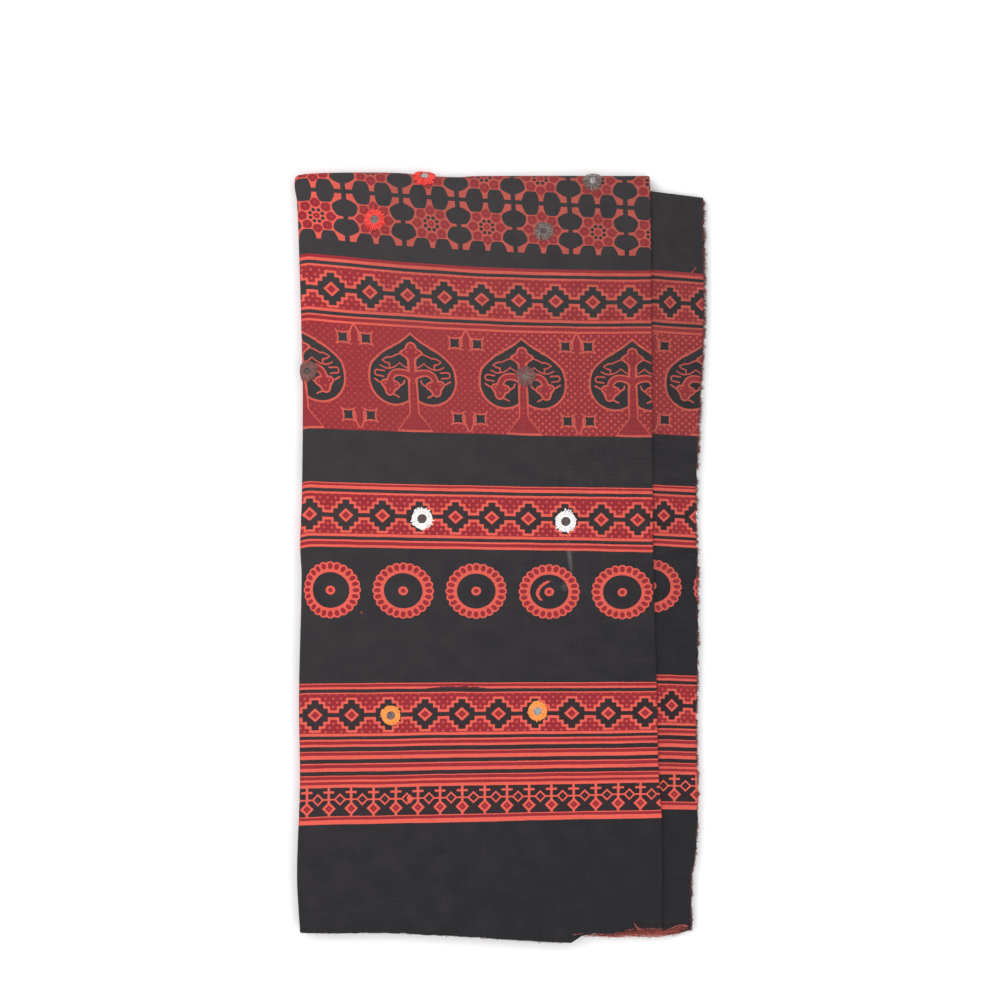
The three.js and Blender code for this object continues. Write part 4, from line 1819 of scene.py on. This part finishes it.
    def star_pairs(self, p: Number, q: Number, tone: Number) -> Number:
        """Two four-pointed stars and the petal between them, at the band's head and foot.

        Args:
            p: Place across from a leaf's middle.
            q: Place down from its notch.
            tone: The ink under it.

        Returns:
            The ink with it.
        """
        aside = self.repeat / 2 - p
        out = abs(q - self.middle)
        reach = 35.0 - out
        width = (reach / 6.0).most(0.0).least(1.0) ** 0.66 * 2.9
        petal = reach.within(0.0, 11.4)
        tone = tone.printed((aside < width + 0.75) & petal, Ink.CORAL)
        tone = tone.printed((aside < width - 0.5) & petal, Ink.CRIMSON)
        x, y = abs(aside - 7.77), abs(out - 26.0)
        most, least = x.most(y), x.least(y)
        bow = least * least
        tone = tone.printed((most < bow * 0.055 + 3.8) & (most < 5.3), Ink.CORAL)
        return tone.printed((most < bow * 0.05 + 2.72) & (most < 3.7), Ink.BLACK)


@dataclass(frozen=True)
class RosetteRow:
    """A row of beaded rings, each round a small button."""

    repeat: float = 51.0
    first: float = -16.6
    middle: float = 290.3
    start: float = 268.0
    end: float = 313.0
    beads: int = 24
    stretch: float = 1.11
    scallop_radius: float = 21.5
    scallop_depth: float = 68.0
    bead_out: float = 18.05
    bead_long: float = 2.4
    bead_wide: float = 1.65
    inner_radius: float = 13.45
    button_radius: float = 3.35
    eye_radius: float = 1.65

    def tone(self, across: Number, down: Number) -> Number:
        """The print's ink in this row.

        Args:
            across: Place across the print.
            down: Place along it from the middle line.

        Returns:
            The ink.
        """
        x = (across - self.first).folded(self.repeat / 2)
        y = abs(down - self.middle) * self.stretch
        reach = distance(x, y)
        sector = y.math("ARCTAN2", x).folded(math.pi / self.beads)
        scallop = sector * sector * -self.scallop_depth + self.scallop_radius
        tone = (reach < scallop).pick(Ink.CORAL.value, Ink.BLACK.value)
        bead = distance((reach - self.bead_out) / self.bead_long, reach * sector / self.bead_wide)
        tone = tone.printed(bead < 1.0, Ink.CRIMSON)
        tone = tone.printed(reach < self.inner_radius, Ink.BLACK)
        tone = tone.printed(reach < self.button_radius, Ink.CORAL)
        return tone.printed(reach < self.eye_radius, Ink.CRIMSON)


@dataclass(frozen=True)
class FootBorder:
    """The lines near the cut end, with a row of small diamonds on stems between them."""

    start: float = 397.5
    end: float = 450.8
    row_start: float = 425.7
    row_end: float = 445.1
    repeat: float = 15.52
    first: float = 4.87
    small_down: float = 8.0
    big_down: float = 14.2
    small_outer: float = 4.3
    small_inner: float = 2.75
    big_outer: float = 4.75
    big_inner: float = 2.65
    lines: Rows = (
        (397.0, 0.0), (400.5, 1.0), (401.2, 0.5), (403.4, 1.0), (406.0, 0.0), (408.8, 1.0),
        (409.6, 0.5), (411.9, 1.0), (414.4, 0.0), (417.0, 1.0), (417.8, 0.5), (419.8, 1.0),
        (421.4, 0.5), (423.4, 1.0), (425.5, 0.0), (445.0, 1.0), (445.7, 0.5), (447.7, 1.0),
        (450.6, 0.0), (452.0, 0.0),
    )

    def tone(self, across: Number, down: Number) -> Number:
        """The print's ink in this border.

        Args:
            across: Place across the print.
            down: Place along it from the middle line.

        Returns:
            The ink.
        """
        tone = down.curve(self.lines, stepped=True)
        x = (across - self.first).folded(self.repeat / 2)
        t = down - self.row_start
        stem = (x < 0.85) & ((t < 11.0) | (t > 17.5))
        bar = (x < 3.85) & (abs(t - 3.0) < 0.75)
        link = abs(t - self.small_down) < 0.55
        aside = self.repeat / 2 - x
        small = aside + abs(t - self.small_down)
        big = x + abs(t - self.big_down)
        inside = down.within(self.row_start - 0.3, self.row_end)
        shapes = stem | bar | link | (small < self.small_outer) | (big < self.big_outer)
        tone = tone.printed(shapes & inside, Ink.CORAL)
        tone = tone.printed((small < self.small_inner) & inside, Ink.BLACK)
        tone = tone.printed((small < 0.7) & inside, 0.3)
        tone = tone.printed((big < self.big_inner) & inside, Ink.CRIMSON)
        return tone.printed((big < 0.6) & inside, 0.75)


@dataclass(frozen=True)
class AjrakhPrint:
    """The whole block print, from the middle line to the cut ends, and mirrored past it."""

    strip_from: float = 420.0
    spread: float = 0.018
    spread_from: float = 200.0
    stars: StarField = StarField()
    border: DiamondBorder = DiamondBorder()
    peepal: PeepalBand = PeepalBand()
    rosettes: RosetteRow = RosetteRow()
    foot: FootBorder = FootBorder()

    def tone(self, across: Number, down: Number, dot_share: Number) -> Number:
        """The ink at each place of the cloth.

        Args:
            across: Place across the print.
            down: Place along it from the middle line.
            dot_share: How clearly the peepal ground's dots have printed.

        Returns:
            The ink, as a number.
        """
        stars, peepal, rosettes, foot = self.stars, self.peepal, self.rosettes, self.foot
        field_mask = (down < stars.end) & (across < self.strip_from)
        tone = field_mask.pick(stars.tone(across, down), Ink.BLACK.value)
        border_tone, in_border = self.border.tone(across, down)
        spread = (down > self.spread_from) * self.spread
        tone = tone.printed(in_border, border_tone.most(spread))
        band = down.within(peepal.start, peepal.end)
        tone = tone.printed(band, peepal.tone(across, down, dot_share))
        row = down.within(rosettes.start, rosettes.end)
        tone = tone.printed(row, rosettes.tone(across, down))
        in_foot = down.within(foot.start, foot.end)
        return tone.printed(in_foot, foot.tone(across, down).most(self.spread))


@dataclass(frozen=True)
class CottonFinish:
    """Block-printed cotton: its inks, its weave, how it has faded, and painted light and shade
    across it.
    """

    name: str = "ajrakh_cotton"
    black: Colour = (0.0205, 0.0192, 0.0222)
    crimson: Colour = (0.292, 0.0245, 0.0335)
    coral: Colour = (0.735, 0.113, 0.082)
    thin_coral: Colour = (0.167, 0.070, 0.060)
    # Tint of the pale haze, which is partly painted light towards the upper left.
    haze_and_light_tint: Colour = (0.42, 0.36, 0.36)
    wrong_side: Colour = (0.13, 0.040, 0.043)
    thread_spacing: float = 0.72
    drift: float = 1.0
    edge_drift: float = 0.42
    thin_right: Rows = (
        (0, 0.55), (52, 0.52), (66, 0.36), (108, 0.36), (112, 0.13), (181, 0.13), (214, 0.02),
        (262, 0.02), (268, 0.12), (318, 0.12), (340, 0.0), (560, 0.0),
    )
    thin_strip: float = 0.12
    thin_all: Rows = ((0, 0.0), (110, 0.0), (112, 0.24), (181, 0.24), (183, 0.0), (560, 0.0))
    blocks: AjrakhPrint = AjrakhPrint()

    def build(self) -> bpy.types.Material:
        """Makes the material.

        Returns:
            The material.
        """
        board = Board(self.name)
        flat = board.node("ShaderNodeUVMap", uv_map="ClothFlat").outputs[0]
        place = board.node("ShaderNodeTexCoord").outputs["Object"]
        u, v = board.split(flat)[:2]
        drift_u, drift_v = board.noise_pair(flat, 0.031, 1.0)
        edge_u, edge_v = board.noise_pair(flat, 0.55, 2.0)
        across = u + (drift_u - 0.5) * self.drift + (edge_u - 0.5) * self.edge_drift
        down = abs(v) + (drift_v - 0.5) * self.drift + (edge_v - 0.5) * self.edge_drift
        dot_share = ((u + 70.0) / 100.0).most(0.35).least(1.0)
        tone = self.blocks.tone(across, down, dot_share)
        tone = self.blemishes(board, across, down, tone)
        colour = self.inks(board, tone)
        colour = self.wear_and_painted_light(board, colour, u, v, flat, place, tone)
        board.feed(board.shader.inputs["Base Color"], colour)
        board.shader.inputs["Roughness"].default_value = 0.86
        board.shader.inputs["Specular IOR Level"].default_value = 0.12
        board.shader.inputs["Sheen Weight"].default_value = 0.03
        board.shader.inputs["Sheen Roughness"].default_value = 0.6
        self.weave(board, u, v, flat)
        return board.material

    def blemishes(self, board: Board, across: Number, down: Number, tone: Number) -> Number:
        """Stray prints: a hook in one rosette, a speck, a blot, a smear and some flecks.

        Args:
            board: The material's nodes.
            across: Place across the print.
            down: Place along it from the middle line.
            tone: The ink of the blocks.

        Returns:
            The ink with the stray prints.
        """
        x, y = across - 34.5, down - 291.4
        bent = x + 8.3 - y * y * 0.105
        broken = board.noise(board.join(x, y), 0.8, 1.0) * 2.4 - y * 0.05
        stray = (abs(bent) < broken) & y.within(-8.8, 5.0)
        speck = distance(across + 96.9, down - 305.7) < 0.8
        tone = tone.printed(stray, Ink.CORAL)
        tone = tone.printed(speck, 0.62)
        cloud = board.noise(board.join(across, down), 0.45, 2.0)
        blot = distance(across + 63.0, (down - 434.1) * 0.8) < cloud * 4.2
        tone = tone.printed(blot, Ink.CORAL)
        ends = (across + 30.0) / 22.0
        smear = abs(down - 357.9) < (1.0 - ends * ends) * cloud * 2.6
        tone = tone.printed(smear, tone * 0.14)
        flecks = board.noise(board.join(across, down), 1.5, 2.0)
        strays = stroke(across, down, (618.0, 60.8), (614.6, 64.6)) < flecks * 3.6 - 1.45
        return tone.printed(strays, 0.72)

    def inks(self, board: Board, tone: Number) -> object:
        """Turns the inks' numbers into colours.

        Args:
            board: The material's nodes.
            tone: The ink.

        Returns:
            The output that holds its colour.
        """
        made = board.node("ShaderNodeValToRGB")
        ramp = made.color_ramp
        ramp.elements.new(0.5)
        for element, colour in zip(ramp.elements, (self.black, self.crimson, self.coral)):
            element.color = (*colour, 1)
        board.feed(made.inputs[0], tone)
        return made.outputs[0]

    def wear_and_painted_light(
        self, board: Board, colour: object, u: Number, v: Number, flat: object, place: object,
        tone: Number,
    ) -> object:
        """Uneven ink, thread streaks, painted shade, a pale haze that is partly painted light, and
        the wrong side.

        Args:
            board: The material's nodes.
            colour: The printed colour.
            u: Place across the flat cloth.
            v: Place along it.
            flat: Both, as a vector.
            place: The piece's own coordinates, in metres.
            tone: The ink.

        Returns:
            The colour with its wear and its painted light and shade.
        """
        x, y = board.split(place)[:2]
        # Painted shade: the colour is darkened towards the piece's upper right, standing in for
        # weaker light there.
        right = ((x + 0.02) / 0.12).most(0.0).least(1.0)
        high = ((y + 0.22) / 0.36).most(0.0).least(1.0)
        falloff = right * high * 0.15
        streak_u = board.noise(board.join(u * 0.9, v * 0.035), 1.0, 1.0)
        streak_v = board.noise(board.join(u * 0.035, v * 0.9, 5.0), 1.0, 1.0)
        grain = (streak_u * 0.7 + streak_v * 1.1 - 0.9) * 0.42
        patch = (board.noise(flat, 0.075, 3.0) - 0.5) * 0.22
        colour = board.blend(self.thinness(u, v, patch, tone), colour, (*self.thin_coral, 1))
        # Darkens by the painted shade together with the real thread streaks and uneven ink.
        colour = board.blend((falloff + grain + patch).most(0.0), colour, (0, 0, 0, 1))
        # Partly painted light: a pale haze that grows towards the upper left, standing in for
        # brighter light there, mixed with the cloth's own pale mottling, thread streaks and
        # smears.
        haze_and_painted_light = 0.027 - x * 0.07 + y * 0.10 + (grain * -1.0).most(0.0) * 0.04
        haze_and_painted_light = haze_and_painted_light + (board.noise(flat, 0.06, 5.0) - 0.5) * 0.05
        haze_and_painted_light = haze_and_painted_light + self.smears(board, u, v) - (u > self.blocks.strip_from) * 0.010
        haze_and_painted_light = haze_and_painted_light * (1.0 - tone * 1.8).most(0.0)
        colour = board.blend(haze_and_painted_light.most(0.0).least(0.5), colour, (*self.haze_and_light_tint, 1))
        wrong = board.node("ShaderNodeAttribute", attribute_name="WrongSide").outputs["Fac"]
        return board.blend(Number(board, wrong) * 0.35, colour, (*self.wrong_side, 1))

    def thinness(self, u: Number, v: Number, patch: Number, tone: Number) -> Number:
        """Finds how thinly the coral ink lies, which is most towards the upper right.

        Args:
            u: Place across the flat cloth.
            v: Place along it.
            patch: Slow unevenness about nothing.
            tone: The ink.

        Returns:
            The share of the coral that is gone.
        """
        right = ((u + 115.0) / 50.0).most(0.0).least(1.0)
        depth = abs(v)
        gone = depth.curve(self.thin_right) * right + depth.curve(self.thin_all)
        gone = gone + (u > self.blocks.strip_from) * self.thin_strip
        return gone * (1.0 + patch * 2.0) * ((tone - 0.5) * 2.0).most((tone > 0.3) * 0.5)

    def smears(self, board: Board, u: Number, v: Number) -> Number:
        """Finds two whitish smears beside one mirror, where something has dried on the cloth.

        Args:
            board: The material's nodes.
            u: Place across the flat cloth.
            v: Place along it.

        Returns:
            How thickly they lie.
        """
        cloud = board.noise(board.join(u, v), 0.7, 2.0)
        run = distance((u - 48.6 - (v - 266.0) * 0.12) / 2.2, (v - 265.0) / 15.0)
        patch = distance((u - 45.2) / 4.5, (v - 287.0) / 5.0)
        near = (1.0 - run).most((0.8 - patch) * 0.7).most(0.0)
        return near * cloud * 0.42

    def weave(self, board: Board, u: Number, v: Number, flat: object) -> None:
        """A plain weave: threads going over and under each other.

        Args:
            board: The material's nodes.
            u: Place across the flat cloth.
            v: Place along it.
            flat: Both, as a vector.
        """
        turn = math.pi / self.thread_spacing
        over = (u * turn).math("SINE") * (v * turn).math("SINE")
        slub = board.noise(flat, 1.3, 2.0)
        made = board.node("ShaderNodeBump")
        made.inputs["Strength"].default_value = 0.35
        made.inputs["Distance"].default_value = 0.00025
        board.feed(made.inputs["Height"], over * 0.5 + slub)
        board.feed(board.shader.inputs["Normal"], made.outputs[0])


@dataclass(frozen=True)
class ThreadFinish:
    """Thread of one kind, each strand a little lighter or darker."""

    thread: Thread
    dark: Colour
    pale: Colour
    sheen: float = 0.15
    roughness: float = 0.7

    def build(self) -> bpy.types.Material:
        """Makes the material.

        Returns:
            The material.
        """
        board = Board(f"{self.thread.value}_finish")
        shade = board.node("ShaderNodeAttribute", attribute_name="Shade").outputs["Fac"]
        place = board.node("ShaderNodeTexCoord").outputs["Object"]
        fleck = board.noise(place, 1400.0, 1.0)
        share = (Number(board, shade) * 0.8 + (fleck - 0.5) * 0.8 + 0.1).most(0.0).least(1.0)
        colour = board.blend(share, (*self.dark, 1), (*self.pale, 1))
        board.feed(board.shader.inputs["Base Color"], colour)
        board.shader.inputs["Roughness"].default_value = self.roughness
        board.shader.inputs["Specular IOR Level"].default_value = 0.3
        board.shader.inputs["Sheen Weight"].default_value = self.sheen
        return board.material


THREAD_FINISHES = {
    finish.thread: finish
    for finish in (
        ThreadFinish(Thread.RED, (0.66, 0.035, 0.033), (0.98, 0.085, 0.070)),
        ThreadFinish(Thread.GREY, (0.11, 0.085, 0.078), (0.34, 0.295, 0.27)),
        ThreadFinish(Thread.BROWN, (0.15, 0.062, 0.058), (0.27, 0.122, 0.112)),
        ThreadFinish(Thread.WHITE, (0.78, 0.76, 0.75), (1.0, 0.99, 0.98)),
        ThreadFinish(Thread.ORANGE, (0.96, 0.26, 0.055), (1.0, 0.41, 0.10)),
        ThreadFinish(Thread.LOOSE, (0.13, 0.030, 0.029), (0.68, 0.160, 0.130)),
    )
}


@dataclass(frozen=True)
class MirrorFinish:
    """Silvered glass, a little spotted, in one of the painted reflection brightnesses."""

    glass: Glass
    spotted: float = 0.35

    def build(self) -> bpy.types.Material:
        """Makes the material.

        Returns:
            The material.
        """
        board = Board(f"{self.glass.name.lower()}_silvered_glass")
        place = board.node("ShaderNodeTexCoord").outputs["Object"]
        spots = ((board.noise(place, 700.0, 3.0) - 0.5) * 6.0).most(0.0).least(1.0)
        spot = tuple(part * self.spotted for part in self.glass.value)
        # Painted reflection: the silver's brightness stands for the light this mirror reflects,
        # and the spots are darker.
        colour = board.blend(spots, (*self.glass.value, 1), (*spot, 1))
        board.feed(board.shader.inputs["Base Color"], colour)
        board.shader.inputs["Metallic"].default_value = 1.0
        board.shader.inputs["Roughness"].default_value = 0.22
        return board.material


@dataclass
class Studio:
    """The pale floor, the soft light and the camera over the cloth."""

    distance: float = 1.5
    aim_height: float = 0.008
    sensor: float = 36.0
    floor_side: float = 6.0

    def build(self) -> None:
        """Builds the stage and sets the scene's camera."""
        self.add_floor()
        self.add_lights()
        self.add_camera()

    def add_camera(self) -> None:
        """Looks straight down, as the photograph does, at its scale."""
        side = PHOTO_SIDE * PHOTO_SCALE * MM
        data = bpy.data.cameras.new("camera")
        data.sensor_width = self.sensor
        data.lens = self.sensor * (self.distance - self.aim_height) / side
        camera = bpy.data.objects.new("camera", data)
        centre = (PHOTO_ORIGIN_ROW - PHOTO_SIDE / 2) * PHOTO_SCALE * MM
        camera.location = (0.0, centre, self.distance)
        bpy.context.scene.collection.objects.link(camera)
        bpy.context.scene.camera = camera

    def add_floor(self) -> None:
        """Lays a plain pale floor under the cloth."""
        bpy.ops.mesh.primitive_plane_add(size=self.floor_side, location=(0, 0, 0))
        floor = bpy.context.active_object
        floor.name = "floor"
        material = bpy.data.materials.new("pale_floor")
        material.use_nodes = True
        shader = material.node_tree.nodes["Principled BSDF"]
        shader.inputs["Base Color"].default_value = (0.95, 0.95, 0.95, 1)
        shader.inputs["Roughness"].default_value = 0.9
        shader.inputs["Specular IOR Level"].default_value = 0.1
        floor.data.materials.append(material)

    def add_lights(self) -> None:
        """Adds a wide soft light overhead, two at the sides, and a pale surround."""
        world = bpy.data.worlds.new("pale_surround")
        world.use_nodes = True
        background = world.node_tree.nodes["Background"]
        background.inputs["Color"].default_value = (1, 1, 1, 1)
        background.inputs["Strength"].default_value = 0.47
        bpy.context.scene.world = world
        overhead = self.add_light("overhead", (0.0, 0.0, 2.2), 3.0, 35.5)
        overhead.visible_glossy = False
        self.add_light("key", (-1.25, 0.85, 1.6), 1.6, 14.0)
        self.add_light("fill", (1.25, -1.0, 1.5), 1.6, 8.5)
        bpy.context.scene.view_settings.view_transform = "Standard"
        bpy.context.scene.view_settings.look = "None"

    def add_light(
        self, name: str, place: tuple[float, float, float], side: float, power: float
    ) -> bpy.types.Object:
        """Adds a square soft light that shines on the cloth.

        Args:
            name: The light's name.
            place: Where it hangs, in metres.
            side: The length of its side, in metres.
            power: Its power in watts.

        Returns:
            The light.
        """
        data = bpy.data.lights.new(name, "AREA")
        data.shape = "SQUARE"
        data.size = side
        data.energy = power
        light = bpy.data.objects.new(name, data)
        light.location = place
        light.rotation_euler = (-Vector(place)).to_track_quat("-Z", "Y").to_euler()
        bpy.context.scene.collection.objects.link(light)
        return light


def dress(made: bpy.types.Object, material: bpy.types.Material) -> None:
    """Gives a piece one material."""
    made.data.materials.clear()
    made.data.materials.append(material)


def main() -> None:
    """Builds the cloth, its mirrors and its loose threads."""
    logging.basicConfig(level=logging.INFO, format="%(message)s")
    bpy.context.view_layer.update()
    Studio().build()
    cloth = Sheet().build()
    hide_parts("cloth")
    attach(cloth, BODY)
    dress(cloth, CottonFinish().build())
    log.info("%s: %d faces", cloth.name, len(cloth.data.polygons))
    threads = {thread: finish.build() for thread, finish in THREAD_FINISHES.items()}
    glasses = {glass: MirrorFinish(glass).build() for glass in Glass}
    for number, mirror in enumerate(MIRRORS, start=1):
        for place in frame["nodes"][f"mirror_{number:02d}"].material_slots:
            place.material = glasses[mirror.glass]
        ring = StitchedRing(mirror, number).build()
        dress(ring, threads[mirror.thread])
        log.info("%s: %d faces", ring.name, len(ring.data.polygons))
    frayed_end = FrayedEnd()
    frayed = frayed_end.build()
    dress(frayed, threads[Thread.LOOSE])
    pale = frayed_end.build_pale()
    dress(pale, threads[Thread.GREY])
    fibres = EdgeFibres().build()
    dress(fibres, ThreadFinish(Thread.LOOSE, (0.06, 0.025, 0.025), (0.30, 0.070, 0.065)).build())
    for made in (frayed, pale, fibres):
        log.info("%s: %d faces", made.name, len(made.data.polygons))
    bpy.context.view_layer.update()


if __name__ == "__main__":
    main()
